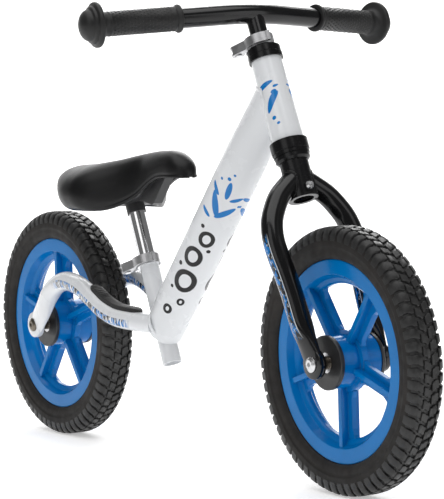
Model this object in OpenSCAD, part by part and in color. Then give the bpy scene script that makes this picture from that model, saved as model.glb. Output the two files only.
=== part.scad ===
// Child's balance bike: welded frame, steering fork, height-adjustable bar and saddle,
// two moulded five-spoke wheels on foam tyres.
// X points forward, Y to the rider's left, Z up. The origin is on the floor, midway
// between the axles. Millimetres and degrees.

/* [Overall] */
// Distance between the two axles
wheelbase = 608; // [500:2:740]
// Angle of the steering axis above the horizontal
head_angle = 67; // [63:0.5:73]
// Angle of the seat tube above the horizontal
seat_angle = 68; // [64:0.5:74]

/* [Wheels] */
// Outer diameter of the tyres
wheel_d = 285; // [236:1:344]
// Width of the tyre tread
tyre_w = 40.5; // [36:0.5:48]
// Radial height of the tyre above the rim edge
tyre_h = 34.5; // [28:0.5:40]
// Depth to which the tyre foot sits in the rim channel
bead_depth = 9; // [6:0.5:10]
// Width over the rim flanges
rim_w = 28; // [22:0.5:33]
// Thickness of each rim flange
rim_flange = 2.6; // [2:0.1:4]
// Radial depth of the rim from its edge to the spoke windows
rim_depth = 26; // [22:0.5:30]
// Number of spokes
spoke_count = 5; // [3:1:8]
// Width of a spoke's flat plate
spoke_w = 20; // [14:0.5:24]
// Thickness of a spoke's flat plate
spoke_t = 6; // [4:0.5:8]
// Thickness of the rib along each spoke
rib_t = 6; // [4:0.5:8]
// Depth of the rib across the wheel
rib_depth = 23; // [16:0.5:26]

/* [Hubs] */
// Outer diameter of the hub barrel
hub_d = 56; // [48:0.5:62]
// Width of the hub barrel without its caps
hub_w = 49; // [42:0.5:52]
// Diameter of the collar where the spokes join the hub
hub_collar_d = 66; // [60:0.5:72]
// Wall of the hub barrel
hub_wall = 3; // [2.5:0.1:4]
// Outer diameter of a hub cap
cap_d = 58; // [50:0.5:64]
// Thickness of a hub cap
cap_t = 4.5; // [3:0.1:6]
// Outer diameter of a wheel bearing
bearing_d = 22; // [20:0.5:26]
// Width of a wheel bearing
bearing_w = 7; // [5:0.5:8]
// Diameter of the wheel axles
axle_d = 10; // [9:0.1:12]
// Radial running clearance of the bearings on their axles
axle_clear = 0.04; // [0.02:0.01:0.1]
// Distance between the inner faces of a pair of dropouts
dropout_gap = 77; // [70:0.5:84]
// Thickness of a dropout plate
dropout_t = 8; // [6:0.5:9]
// Radius of a dropout's round end
dropout_r = 16; // [13:0.5:18]
// Diameter of the axle bolts' shanks
bolt_d = 6; // [5:0.5:6]
// Diameter of the axle bolts' button heads
bolt_head_d = 17; // [14:0.5:20]
// Height of the axle bolts' button heads
bolt_head_h = 3.8; // [3:0.1:5]

/* [Fork] */
// Distance of the front axle ahead of the steering axis
fork_rake = 0.5; // [0:0.5:16]
// Height of the crown tube's open end above the axle, along the steering axis
crown_height = 183; // [180:1:200]
// Length of the crown tube
crown_len = 43; // [40:0.5:52]
// Outer diameter of the crown tube
crown_d = 31.8; // [31:0.1:34]
// Outer diameter of the steerer tube
steerer_d = 23; // [22.8:0.1:24]
// Diameter of the fork legs
leg_d = 24; // [20:0.5:26]
// Distance of a leg's centreline from the middle plane at its widest
leg_spread = 52; // [48:0.5:56]
// Distance of a leg's centreline from the middle plane near the axle
leg_foot = 46; // [44:0.5:49]

/* [Head] */
// Length of the head tube
head_len = 96.5; // [80:0.5:120]
// Outer diameter of the head tube at its lower end
head_d = 36; // [35:0.5:40]
// Outer diameter of the head tube at its upper end
head_top_d = 34; // [33:0.5:37]
// Inner diameter of the head tube
head_bore = 30; // [29.5:0.1:31]
// Height of the lower headset cup below the head tube
lower_cup_h = 16.2; // [14:0.1:20]
// Height of the upper headset cup above the head tube
upper_cup_h = 6; // [5.5:0.1:9]
// Diameter of the lower headset cup
cup_d = 42; // [41:0.5:46]
// Diameter of the upper headset cup and of the nut above it
upper_cup_d = 38.5; // [38:0.5:44]
// Height of the headset top nut
top_nut_h = 8.5; // [7:0.5:11]
// Gap between turning and fixed headset faces
head_gap = 0.3; // [0.2:0.05:0.5]

/* [Handlebar] */
// Diameter of the handlebar tube
bar_d = 22.2; // [21:0.1:24]
// Diameter of the posts under the bar and under the saddle
post_d = 20; // [19:0.1:20.2]
// Wall thickness of the handlebar and seat post tubes
tube_wall = 1.6; // [1.2:0.1:2.2]
// Height of the bar's centreline above the clamp that holds its post
bar_rise = 34.5; // [32:0.5:60]
// Length of post held inside the steerer
post_insertion = 70; // [60:1:80]
// Bend angle from the middle to each end
bar_bend = 10; // [5:0.5:14]
// Centreline radius of the bend
bar_bend_r = 250; // [208:1:300]
// Length of the straight end of the bar up to the grip's outer flange
bar_end = 142; // [118:0.5:171]
// Downward tilt of the swept-back ends
bar_tilt = 20; // [0:0.5:30]
// Radial sliding clearance of both posts
slide_clear = 0.05; // [0.02:0.01:0.1]

/* [Grips] */
// Diameter of a grip's body
grip_d = 27; // [25.5:0.5:32]
// Length of a grip between its two flanges
grip_len = 90; // [75:0.5:108]
// Diameter of the inner grip flange
grip_inner_d = 31; // [30:0.5:36]
// Diameter of the large outer grip flange
grip_outer_d = 49; // [42:0.5:58]
// Distance by which the domed end stands past the flange
grip_dome = 21.5; // [18:0.5:26]

/* [Frame tubes] */
// Diameter of the main tube
main_d = 50; // [42:0.5:54]
// Width of the main tube where it meets the head tube
main_head_w = 36.5; // [35:0.5:43.5]
// Width of the main tube where it meets the seat tube
main_seat_w = 42; // [36:0.5:48]
// Height of the main tube's axis above the head tube's lower end
main_head_rise = 55; // [48:0.5:62]
// Height of the main tube's axis above the seat tube's foot
main_seat_rise = 43; // [38:0.5:56]
// Wall of the main tube
main_wall = 1.8; // [1.4:0.1:2.5]
// Outer diameter of the seat tube
seat_tube_d = 23; // [22.8:0.1:24]
// Length of the seat tube
seat_tube_len = 134; // [120:1:165]
// Distance of the seat tube's foot behind the middle of the wheelbase
seat_foot_back = 46; // [20:1:70]
// Height of the seat tube's foot below the rear axle
seat_foot_drop = 32; // [20:1:45]
// Diameter of the rear stays
stay_d = 23.5; // [20:0.5:25]
// Distance of a stay's centreline from the middle plane beside the tyre
stay_spread = 46.5; // [45:0.5:50]
// Height of the stay's arch above the rear axle
stay_arch = 60.5; // [52:0.5:66]
// Wall of the stays and fork legs
frame_wall = 2; // [1.6:0.1:2.5]
// Thickness of the footrest pads
pad_t = 4; // [2.5:0.1:6]

/* [Saddle] */
// Length of the saddle
saddle_len = 252; // [210:1:303]
// Greatest width of the saddle
saddle_w = 133; // [111:1:160]
// Half width of the saddle's nose
nose_w = 18; // [14:0.5:26]
// Height of the nose above its lower edge
saddle_h = 32; // [26:0.5:40]
// Drop of the lower edge from nose to rear
saddle_drop = 40; // [34:0.5:46]
// Height of the saddle's rim at the nose above the seat tube's foot
saddle_rise = 220.5; // [214:0.5:250]
// Distance of the nose tip ahead of the seat tube's foot
saddle_ahead = 53; // [40:1:80]
// Length of seat post held inside the seat tube
seat_insertion = 84; // [60:1:95]
// Outer diameter of the socket over the seat post
socket_d = 23; // [22.5:0.5:28]

/* [Clamps] */
// Height of the two quick-release collars
clamp_h = 12; // [10:0.5:15]
// Wall of the collars
clamp_wall = 3; // [2.5:0.1:4]
// Width of the slot that closes when a lever is pressed home
clamp_slot = 3; // [2:0.1:4]
// Height of the levers
lever_h = 10.5; // [9:0.5:13]
// Thickness of the levers
lever_t = 3.2; // [2.4:0.1:4]
// Diameter of the cross barrel that a lever turns on
barrel_d = 8; // [7:0.5:9]

/* [Hidden] */
$fn = 64;

// Clearances that keep pressed and glued pieces from overlapping
press = 0.02;
eps = 0.01;
weld_gap = 0.12;

// Wheels
axle_z = wheel_d / 2;
rim_r = axle_z - tyre_h;
window_r = rim_r - rim_depth;
bearing_out = hub_w / 2 + cap_t - 1;
front_axle_pos = [wheelbase / 2, 0, axle_z];
rear_axle_pos = [-wheelbase / 2, 0, axle_z];
dropout_y = (dropout_gap + dropout_t) / 2;
bearing_pocket = bearing_w + 0.5 - (bearing_out - hub_w / 2);

// Steering axis: local Z runs up it from the point nearest the front axle
steer_pos = front_axle_pos - fork_rake * [sin(head_angle), 0, cos(head_angle)];
steer_up = [-cos(head_angle), 0, sin(head_angle)];
crown_top = crown_height + crown_len;
race_h = 7;
race_boss = 1;
lower_bearing_z = crown_top + race_h + race_boss + head_gap;
bearing_h = 5;
head_bearing_r = 17.5;
cup_skirt = 8;
head_bottom = crown_top + race_h + head_gap + lower_cup_h + 0.1;
head_top = head_bottom + head_len;
upper_bearing_z = head_top + upper_cup_h - bearing_h + 0.5;
top_nut_z = upper_bearing_z + bearing_h + head_gap;
bar_clamp_z = top_nut_z + top_nut_h + 1.2 + clamp_h / 2;
steerer_top = bar_clamp_z + clamp_h / 2 - 1;
bar_z = bar_clamp_z + bar_rise;
steerer_bore = post_d / 2 + slide_clear;
crown_bolt_z = crown_height + 10;

// Seat tube: local Z runs up it from its open foot
seat_pos = [-seat_foot_back, 0, axle_z - seat_foot_drop];
seat_up = [-cos(seat_angle), 0, sin(seat_angle)];
seat_clamp_z = seat_tube_len - clamp_h / 2 + 1;
seat_bore = post_d / 2 + slide_clear;
post_bottom = seat_tube_len - seat_insertion;
slot_len = 28;

// Main tube: a straight axis from the seat tube to the steering axis
main_low = seat_pos + main_seat_rise * seat_up;
main_high = steer_pos + (head_bottom + main_head_rise) * steer_up;
main_span = main_high - main_low;
main_len = norm(main_span);
main_pitch = atan2(main_span.z, main_span.x);
main_ends = 40;

// Quick-release clamps
clamp_r = seat_tube_d / 2 + clamp_wall;
barrel_x = -23;
barrel_y = -17.5;
skewer_d = 5;
ear_len = 13;
ear_t = 5;
lever_in = clamp_r + 1.6;
lever_start = 232;
lever_end = 345;

// Saddle
saddle_n = 22;
pan_t = 5;
pan_recess = 9;
skirt_t = 5;
soft_gap = 0.3;

// ---- Small helpers ----

module at_front() { translate(front_axle_pos) children(); }
module at_rear() { translate(rear_axle_pos) children(); }
module at_steering() { translate(steer_pos) rotate([0, head_angle - 90, 0]) children(); }
module at_seat_tube() { translate(seat_pos) rotate([0, seat_angle - 90, 0]) children(); }
// Turns a shape drawn about Z so that it lies about Y
module about_y() { rotate([-90, 0, 0]) children(); }
module both_sides() { children(); mirror([0, 1, 0]) children(); }

module ring(outer_r, inner_r, h) {
    difference() {
        cylinder(r = outer_r, h = h);
        translate([0, 0, -1]) cylinder(r = inner_r, h = h + 2);
    }
}

function arc(c, r, a0, a1, n) =
    [for (i = [0 : n]) c + r * [cos(a0 + (a1 - a0) * i / n), sin(a0 + (a1 - a0) * i / n)]];
function clamp01(t) = min(1, max(0, t));
function smooth(t) = let (s = clamp01(t)) s * s * (3 - 2 * s);
function unit(v) = v / norm(v);

// Smooth curve through four neighbouring points, at t between the middle two
function through(a, b, c, d, t) =
    0.5 * (2 * b + (c - a) * t + (2 * a - 5 * b + 4 * c - d) * t * t
        + (3 * b - a - 3 * c + d) * t * t * t);
// Every point list is followed with a number of steps between neighbours
function follow(p, steps) = let (n = len(p)) [
    for (i = [0 : n - 2], k = [0 : steps - 1])
        through(p[max(i - 1, 0)], p[i], p[i + 1], p[min(i + 2, n - 1)], k / steps),
    p[n - 1]];

// The hollow inside a stretch of a swept tube
function bore_of(path, first, last) = [for (i = [first : last])
    let (p = path[i]) [p[0], p[1], p[2], p[3] - frame_wall, p[4] - frame_wall]];

// Tube swept along points; each point also carries its two half widths,
// across (towards Y) and deep (square to Y)
module swept(path, sides) {
    n = len(path);
    pos = [for (q = path) [q[0], q[1], q[2]]];
    dir = [for (i = [0 : n - 1]) unit(pos[min(i + 1, n - 1)] - pos[max(i - 1, 0)])];
    across = [for (d = dir) unit([0, 1, 0] - d.y * d)];
    points = [for (i = [0 : n - 1], k = [0 : sides - 1])
        let (a = 360 * k / sides)
        pos[i] + path[i][3] * cos(a) * across[i]
            + path[i][4] * sin(a) * cross(dir[i], across[i])];
    faces = concat(
        [[for (k = [0 : sides - 1]) k]],
        [for (i = [0 : n - 2], k = [0 : sides - 1])
            let (a = i * sides + k, b = i * sides + (k + 1) % sides)
            [a, a + sides, b + sides, b]],
        [[for (k = [sides - 1 : -1 : 0]) (n - 1) * sides + k]]);
    polyhedron(points, faces, convexity = 6);
}

// Closed skin over equal rings of points, one ring after another
module skinned(rings) {
    n = len(rings);
    m = len(rings[0]);
    faces = concat(
        [[for (k = [0 : m - 1]) k]],
        [for (i = [0 : n - 2], k = [0 : m - 1])
            let (a = i * m + k, b = i * m + (k + 1) % m)
            [a, a + m, b + m, b]],
        [[for (k = [m - 1 : -1 : 0]) (n - 1) * m + k]]);
    polyhedron([for (r = rings, p = r) p], faces, convexity = 8);
}

// ---- Wheels ----

function mirrored(half) =
    concat(half, [for (i = [len(half) - 1 : -1 : 0]) [half[i].x, -half[i].y]]);

module tyre() {
    foot = rim_w / 2 - rim_flange - press;
    side = tyre_w / 2;
    half = concat(
        [[rim_r - bead_depth + press, foot], [rim_r + press, foot],
         [rim_r + press, rim_w / 2], [rim_r + 3, rim_w / 2 + 3.5],
         [rim_r + tyre_h * 0.35, side - 0.5], [rim_r + tyre_h * 0.6, side]],
        arc([rim_r + tyre_h - 12, side - 12], 12, 75, 5, 6));
    about_y() rotate_extrude($fn = 96) polygon(mirrored(half));
}

module rim_band() {
    half = [[window_r, 0], [window_r, 2.5], [window_r + 2, 4.5], [window_r + 6, 6.5],
        [window_r + 10, rim_w / 2], [rim_r - 0.8, rim_w / 2], [rim_r, rim_w / 2 - 0.8],
        [rim_r, rim_w / 2 - rim_flange], [rim_r - bead_depth, rim_w / 2 - rim_flange],
        [rim_r - bead_depth, 0]];
    rotate_extrude($fn = 96) polygon(concat(half,
        [for (i = [len(half) - 2 : -1 : 1]) [half[i].x, -half[i].y]]));
}

module spoke() {
    inner = hub_collar_d / 2 - 2;
    outer = window_r + 3;
    w = spoke_w / 2;
    linear_extrude(spoke_t, center = true)
        polygon([[inner, -w - 3], [inner + 7, -w], [outer - 14, -w], [outer - 7, -w - 3],
            [outer, -w - 10], [outer, w + 10], [outer - 7, w + 3], [outer - 14, w],
            [inner + 7, w], [inner, w + 3]]);
    rotate([90, 0, 0]) linear_extrude(rib_t, center = true)
        polygon([[hub_d / 2 - 1, -rib_depth / 2], [window_r + 9, -rib_depth / 2],
            [window_r + 9, rib_depth / 2], [hub_d / 2 - 1, rib_depth / 2]]);
}

module hub_barrel() {
    sleeve_r = bearing_d / 2 + 3;
    difference() {
        union() {
            cylinder(d = hub_d, h = hub_w, center = true);
            cylinder(d = hub_collar_d, h = spoke_t + 2, center = true);
        }
        cylinder(d = axle_d + 3, h = hub_w + 2, center = true);
        for (up = [0, 1]) mirror([0, 0, up]) {
            translate([0, 0, hub_w / 2 - bearing_pocket])
                cylinder(d = bearing_d + 2 * press, h = bearing_pocket + 1);
            translate([0, 0, 4])
                ring(hub_d / 2 - hub_wall, sleeve_r, hub_w / 2 - 3);
        }
    }
}

// Moulded rim, spokes and hub, with one spoke at the given angle
module rim(first_angle) {
    about_y() {
        rim_band();
        hub_barrel();
        for (i = [0 : spoke_count - 1])
            rotate([0, 0, first_angle + i * 360 / spoke_count]) spoke();
    }
}

module wheel_bearings() {
    about_y() for (up = [0, 1]) mirror([0, 0, up])
        translate([0, 0, bearing_out - bearing_w])
            ring(bearing_d / 2, axle_d / 2 + axle_clear, bearing_w);
}

module hub_caps() {
    about_y() for (up = [0, 1]) mirror([0, 0, up])
        translate([0, 0, hub_w / 2]) difference() {
            union() {
                cylinder(d = cap_d, h = cap_t - 1);
                translate([0, 0, cap_t - 1]) cylinder(d1 = cap_d, d2 = cap_d - 2, h = 1);
            }
            translate([0, 0, -1]) cylinder(d = bearing_d + 2 * press, h = cap_t + 2);
        }
}

module axle() {
    about_y() difference() {
        cylinder(d = axle_d, h = dropout_gap, center = true);
        for (up = [0, 1]) mirror([0, 0, up])
            translate([0, 0, dropout_gap / 2 - 20]) cylinder(d = bolt_d, h = 21);
    }
}

module axle_bolts() {
    face = dropout_gap / 2 + dropout_t;
    about_y() for (up = [0, 1]) mirror([0, 0, up]) {
        translate([0, 0, face - dropout_t - 14])
            cylinder(d = bolt_d - 2 * press, h = dropout_t + 14);
        translate([0, 0, face]) difference() {
            union() {
                cylinder(d = bolt_head_d, h = bolt_head_h * 0.4);
                translate([0, 0, bolt_head_h * 0.4])
                    cylinder(d1 = bolt_head_d, d2 = bolt_head_d * 0.6, h = bolt_head_h * 0.6);
            }
            translate([0, 0, bolt_head_h - 2.2]) cylinder(d = 5, h = 3, $fn = 6);
        }
    }
}

module axle_spacers() {
    from = bearing_out + 0.2;
    about_y() for (up = [0, 1]) mirror([0, 0, up])
        translate([0, 0, from])
            ring(axle_d / 2 + 2.2, axle_d / 2 + press, dropout_gap / 2 - from);
}

// ---- Frame ----

module head_form() {
    translate([0, 0, head_bottom]) cylinder(d1 = head_d, d2 = head_top_d, h = head_len);
}

module head_tube() {
    color("white") at_steering() difference() {
        head_form();
        translate([0, 0, head_bottom - 1]) cylinder(d = head_bore, h = head_len + 2);
    }
}

// Half widths of the main tube at a share of its length: across, deep
function main_half(s) =
    let (head = smooth((s - 0.72) / 0.28), seat = smooth((0.16 - s) / 0.24))
    [main_d / 2 + head * (main_head_w - main_d) / 2 + seat * (main_seat_w - main_d) / 2,
     main_d / 2 + head * 2];

module main_tube_form(shrink) {
    n = 14;
    from = -main_ends / main_len;
    to = 1 + main_ends / main_len;
    swept([for (i = [0 : n])
        let (s = from + (to - from) * i / n, w = main_half(s), p = main_low + s * main_span)
        [p.x, p.y, p.z, w[0] - shrink, w[1] - shrink]], 32);
}

// The space between the seat tube's axis and the steering axis, drawn in by an inset
module between_axes(inset) {
    big = 1200;
    intersection() {
        at_seat_tube() translate([inset, -big / 2, -big / 2]) cube(big);
        at_steering() translate([-inset - big, -big / 2, -big / 2]) cube(big);
    }
}

module main_tube() {
    color("white") difference() {
        intersection() {
            main_tube_form(0);
            between_axes(0);
        }
        intersection() {
            main_tube_form(main_wall);
            between_axes(main_wall);
        }
        at_seat_tube() cylinder(d = seat_tube_d, h = 300, center = true);
        at_steering() head_form();
    }
}

module seat_tube() {
    color("white") at_seat_tube() difference() {
        ring(seat_tube_d / 2, seat_bore, seat_tube_len);
        translate([-seat_tube_d, -clamp_slot / 2, seat_tube_len - slot_len])
            cube([seat_tube_d, clamp_slot, slot_len + 1]);
    }
}

// Bolt hole through a dropout, with flat seats for the bolt's head and the spacer
module dropout_cuts() {
    cylinder(d = bolt_d + 0.2, h = 100);
    translate([0, 0, dropout_gap / 2 + dropout_t]) cylinder(d = bolt_head_d + 1, h = 20);
    cylinder(d = axle_d + 8, h = dropout_gap / 2);
}

// Centreline of the left stay from dropout to seat tube, with half widths
function stay_path() = let (
    r = stay_d / 2, a = rear_axle_pos, y = stay_spread,
    s = seat_pos + (main_seat_rise + 8) * seat_up) follow([
        [a.x, dropout_y, a.z, dropout_t / 2, dropout_r - 0.5],
        [a.x + 26, y - 1, a.z + 21, 7.5, 15],
        [a.x + 45, y, a.z + 40, r, r],
        [a.x + 65, y + 0.5, a.z + stay_arch - 7, r, r],
        [a.x + 93, y + 0.5, a.z + stay_arch, r, r],
        [a.x + 124, y, a.z + stay_arch - 5, r, r],
        [a.x + 154, y - 1, a.z + 42, r, r],
        [a.x + 172, y - 4, a.z + 31, r, r],
        [s.x - 45, y - 9, s.z + 7, r, r],
        [s.x - 22, y - 18, s.z + 3, r, r],
        [s.x + 6, 17, s.z, r * 0.9, r * 0.95]], 3);

module stay() {
    difference() {
        union() {
            swept(stay_path(), 20);
            translate([rear_axle_pos.x, dropout_gap / 2, rear_axle_pos.z]) about_y()
                cylinder(r = dropout_r, h = dropout_t);
        }
        swept(bore_of(stay_path(), 7, 27), 16);
        at_rear() about_y() dropout_cuts();
        main_tube_form(0);
        at_seat_tube() cylinder(d = seat_tube_d, h = 300, center = true);
        mirror([0, 1, 0]) translate([-500, 0, 0]) cube(1000);
    }
}

module left_stay() { color("white") stay(); }
module right_stay() { color("white") mirror([0, 1, 0]) stay(); }

// Rubber tread laid over the falling top of a stay
module footrest_pad() {
    path = stay_path();
    first = 17;
    last = 28;
    r = stay_d / 2;
    section = concat(
        [for (a = [140 : -12.5 : 65]) (r + 0.1) * [cos(a), sin(a)]],
        [[4, r + pad_t - 1.5], [2, r + pad_t], [-r + 3, r + pad_t], [-r + 1, r + pad_t - 1]]);
    rings = [for (i = [first : last])
        let (p = path[i], d = unit([for (k = [0 : 2]) path[i + 1][k] - path[i - 1][k]]),
            side = unit([0, 1, 0] - d.y * d), up = cross(d, side))
        [for (q = section) [p[0], p[1], p[2]] + q.x * side + q.y * up]];
    skinned(rings);
}

module left_footrest_pad() { color([0.08, 0.08, 0.08]) footrest_pad(); }
module right_footrest_pad() { color([0.08, 0.08, 0.08]) mirror([0, 1, 0]) footrest_pad(); }

// ---- Headset ----

module upper_headset_cup() {
    color([0.06, 0.06, 0.06]) at_steering() difference() {
        union() {
            translate([0, 0, head_top]) cylinder(d = upper_cup_d, h = upper_cup_h);
            translate([0, 0, head_top - cup_skirt])
                cylinder(r = head_bore / 2 - press, h = cup_skirt);
        }
        translate([0, 0, head_top - cup_skirt - 1])
            cylinder(d = steerer_d + 1, h = cup_skirt + upper_cup_h + 2);
        translate([0, 0, upper_bearing_z]) cylinder(r = head_bearing_r + press, h = 20);
    }
}

module lower_headset_cup() {
    low = head_bottom - lower_cup_h;
    color([0.06, 0.06, 0.06]) at_steering() difference() {
        union() {
            translate([0, 0, low]) cylinder(d = cup_d - 2, h = lower_cup_h);
            translate([0, 0, low + 4.2]) cylinder(d = cup_d, h = lower_cup_h - 4.2);
            translate([0, 0, head_bottom - eps])
                cylinder(r = head_bore / 2 - press, h = cup_skirt);
        }
        translate([0, 0, low - 1]) cylinder(d = steerer_d + 1, h = lower_cup_h + cup_skirt + 2);
        translate([0, 0, low - 1])
            cylinder(r = head_bearing_r + press, h = lower_bearing_z + bearing_h - low + 1);
    }
}

module headset_bearings() {
    color("silver") at_steering()
        for (z = [lower_bearing_z, upper_bearing_z]) translate([0, 0, z])
            ring(head_bearing_r, steerer_d / 2 + axle_clear, bearing_h);
}

module crown_race() {
    color([0.06, 0.06, 0.06]) at_steering() translate([0, 0, crown_top]) difference() {
        union() {
            cylinder(d1 = crown_d + 2, d2 = cup_d - 3.5, h = 2.5);
            translate([0, 0, 2.5]) cylinder(d = cup_d - 3.5, h = race_h - 2.5);
            cylinder(r = head_bearing_r - 1, h = race_h + race_boss);
        }
        translate([0, 0, -1]) cylinder(r = steerer_d / 2 + press, h = race_h + 4);
    }
}

module headset_top_nut() {
    color([0.06, 0.06, 0.06]) at_steering() translate([0, 0, top_nut_z]) difference() {
        union() {
            cylinder(d = upper_cup_d - 1, h = top_nut_h - 1.5);
            translate([0, 0, top_nut_h - 1.5])
                cylinder(d1 = upper_cup_d - 1, d2 = upper_cup_d - 4, h = 1.5);
        }
        translate([0, 0, -1]) cylinder(r = steerer_d / 2 + press, h = top_nut_h + 2);
    }
}

// ---- Fork ----

module steerer() {
    color([0.05, 0.05, 0.05]) at_steering() difference() {
        translate([0, 0, crown_height + 3])
            ring(steerer_d / 2, steerer_bore, steerer_top - crown_height - 3);
        translate([-steerer_d, -clamp_slot / 2, steerer_top - clamp_h - 2])
            cube([steerer_d, clamp_slot, clamp_h + 10]);
        crown_bolt_hole();
    }
}

module crown_bolt_hole() {
    translate([0, 0, crown_bolt_z]) rotate([0, 90, 0])
        cylinder(d = bolt_d + 0.1, h = 100, center = true);
}

module fork_crown() {
    color([0.05, 0.05, 0.05]) at_steering() difference() {
        union() {
            translate([0, 0, crown_height]) cylinder(d = crown_d + 1.4, h = 2.2);
            translate([0, 0, crown_height]) cylinder(d = crown_d, h = crown_len);
            translate([crown_d / 2 - 3, 0, crown_bolt_z]) rotate([0, 90, 0])
                cylinder(d = 12, h = 4.2);
        }
        translate([0, 0, crown_height - 1]) cylinder(r = steerer_d / 2 + press, h = crown_len + 2);
        crown_bolt_hole();
    }
}

module crown_bolt() {
    head_x = crown_d / 2 + 1.2;
    tail_x = -crown_d / 2 - 6.5;
    color("silver") at_steering() translate([0, 0, crown_bolt_z]) rotate([0, 90, 0]) {
        translate([0, 0, tail_x]) cylinder(d = bolt_d - 2 * press, h = head_x - tail_x);
        translate([0, 0, head_x]) difference() {
            cylinder(d1 = 9.5, d2 = 7, h = 3);
            translate([0, 0, 1.2]) cylinder(d = 4, h = 3, $fn = 6);
        }
    }
}

module crown_nut() {
    color("silver") at_steering() translate([-crown_d / 2, 0, crown_bolt_z])
        rotate([0, -90, 0]) difference() {
            cylinder(d = 11.5, h = 5, $fn = 6);
            translate([0, 0, -1]) cylinder(d = bolt_d, h = 8, $fn = 32);
        }
}

// Centreline of the left leg on the steering axis: ahead, aside, up, half widths
function leg_path() = let (r = leg_d / 2, w = leg_spread, c = crown_height) follow([
    [0, 4, c + 25, r, r],
    [0, 17, c + 15.5, r, r],
    [0, 30.5, c + 4.5, r, r],
    [0, w - 12, c - 8, r, r],
    [0, w - 4, c - 23, r, r],
    [0, w, c - 41, r, r],
    [0, w - 0.3, c - 61, r, r],
    [0.5, w - 2.5, c - 81, r, r],
    [fork_rake * 0.4, (w + leg_foot) / 2 - 2, c - 108, r, r],
    [fork_rake * 0.7, leg_foot - 0.5, 42, r, r],
    [fork_rake * 0.9, leg_foot - 2, 22, 7.5, 14],
    [fork_rake, dropout_y, 0, dropout_t / 2, dropout_r - 0.5]], 3);

module fork_leg() {
    at_steering() difference() {
        union() {
            swept(leg_path(), 20);
            translate([fork_rake, dropout_gap / 2, 0]) about_y()
                cylinder(r = dropout_r, h = dropout_t);
        }
        swept(bore_of(leg_path(), 4, 26), 16);
        translate([fork_rake, 0, 0]) about_y() dropout_cuts();
        translate([0, 0, crown_height - 20]) cylinder(d = crown_d, h = crown_len + 40);
        translate([0, 0, crown_height]) cylinder(d = crown_d + 1.4, h = 2.2);
        translate([-50, -100, -50]) cube([100, 100, 500]);
    }
}

module left_fork_leg() { color([0.05, 0.05, 0.05]) fork_leg(); }
module right_fork_leg() { color([0.05, 0.05, 0.05]) mirror([0, 1, 0]) fork_leg(); }

// ---- Quick-release clamps, drawn round the tube's axis at the collar's middle ----

module clamp_collar() {
    difference() {
        union() {
            cylinder(r = clamp_r, h = clamp_h, center = true);
            translate([-clamp_r - ear_len + 3, -clamp_slot / 2 - ear_t, -clamp_h / 2 + 1])
                cube([ear_len, clamp_slot + 2 * ear_t, clamp_h - 2]);
        }
        cylinder(r = seat_tube_d / 2 + press, h = clamp_h + 2, center = true);
        translate([-clamp_r - ear_len, -clamp_slot / 2, -clamp_h])
            cube([clamp_r + ear_len, clamp_slot, 2 * clamp_h]);
        translate([barrel_x, 0, 0]) about_y()
            cylinder(d = skewer_d + 0.4, h = 60, center = true);
    }
}

module clamp_skewer() {
    tail = clamp_slot / 2 + ear_t + 8;
    translate([barrel_x, barrel_y, 0]) cylinder(d = barrel_d, h = lever_h + 2.4, center = true);
    translate([barrel_x, barrel_y, 0]) about_y() cylinder(d = skewer_d, h = tail - barrel_y);
}

module clamp_nut() {
    from = clamp_slot / 2 + ear_t + 0.05;
    translate([barrel_x, from, 0]) about_y() difference() {
        union() {
            cylinder(d = 13, h = 2);
            translate([0, 0, 2]) cylinder(d = 11, h = 5, $fn = 40);
        }
        translate([0, 0, -1]) cylinder(d = skewer_d + 2 * press, h = 10);
    }
}

// Cam head round the barrel and a strip that wraps round the tube to a lip at the front
module clamp_lever() {
    head_r = barrel_d / 2 + 3.4;
    head = [barrel_x, barrel_y];
    outer = lever_in + lever_t;
    out = [cos(lever_end), sin(lever_end)];
    on = [-out.y, out.x];
    difference() {
        linear_extrude(lever_h, center = true) polygon(concat(
            arc(head, head_r, 40, 280, 16),
            arc([0, 0], outer, lever_start + 18, lever_end, 16),
            [(outer + 1.6) * out, (outer + 1.6) * out + 4 * on, lever_in * out + 4 * on],
            arc([0, 0], lever_in, lever_end, lever_start, 18)));
        translate(head) {
            cylinder(r = barrel_d / 2 + 0.06, h = lever_h + 2, center = true);
            lever_fork(head_r + 4);
        }
    }
}

// Room for the skewer from where it lies with the lever shut to where it lies open
module lever_fork(reach) {
    gap = skewer_d + 0.8;
    translate([-reach, -reach, -gap / 2]) cube([reach, 2 * reach, gap]);
    translate([-1, 0, -gap / 2]) cube([1 + gap / 2, reach, gap]);
}

module at_seat_clamp() { at_seat_tube() translate([0, 0, seat_clamp_z]) children(); }
module at_bar_clamp() { at_steering() translate([0, 0, bar_clamp_z]) children(); }

module seat_clamp_collar() { color("silver") at_seat_clamp() clamp_collar(); }
module seat_clamp_skewer() { color("silver") at_seat_clamp() clamp_skewer(); }
module seat_clamp_nut() { color("silver") at_seat_clamp() clamp_nut(); }
module seat_clamp_lever() { color("gray") at_seat_clamp() clamp_lever(); }
module bar_clamp_collar() { color("silver") at_bar_clamp() clamp_collar(); }
module bar_clamp_skewer() { color("silver") at_bar_clamp() clamp_skewer(); }
module bar_clamp_nut() { color("silver") at_bar_clamp() clamp_nut(); }
module bar_clamp_lever() { color("gray") at_bar_clamp() clamp_lever(); }

// ---- Handlebar and grips ----

// Local frame with X square to the bar in the plane of its bend
module at_bar() {
    translate(steer_pos + bar_z * steer_up) rotate([0, -bar_tilt, 0]) children();
}
// Start of the straight end, with Z running outwards along it
module at_bar_end() {
    translate([-bar_bend_r * (1 - cos(bar_bend)), bar_bend_r * sin(bar_bend), 0])
        rotate([0, 0, bar_bend]) about_y() children();
}

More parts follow.
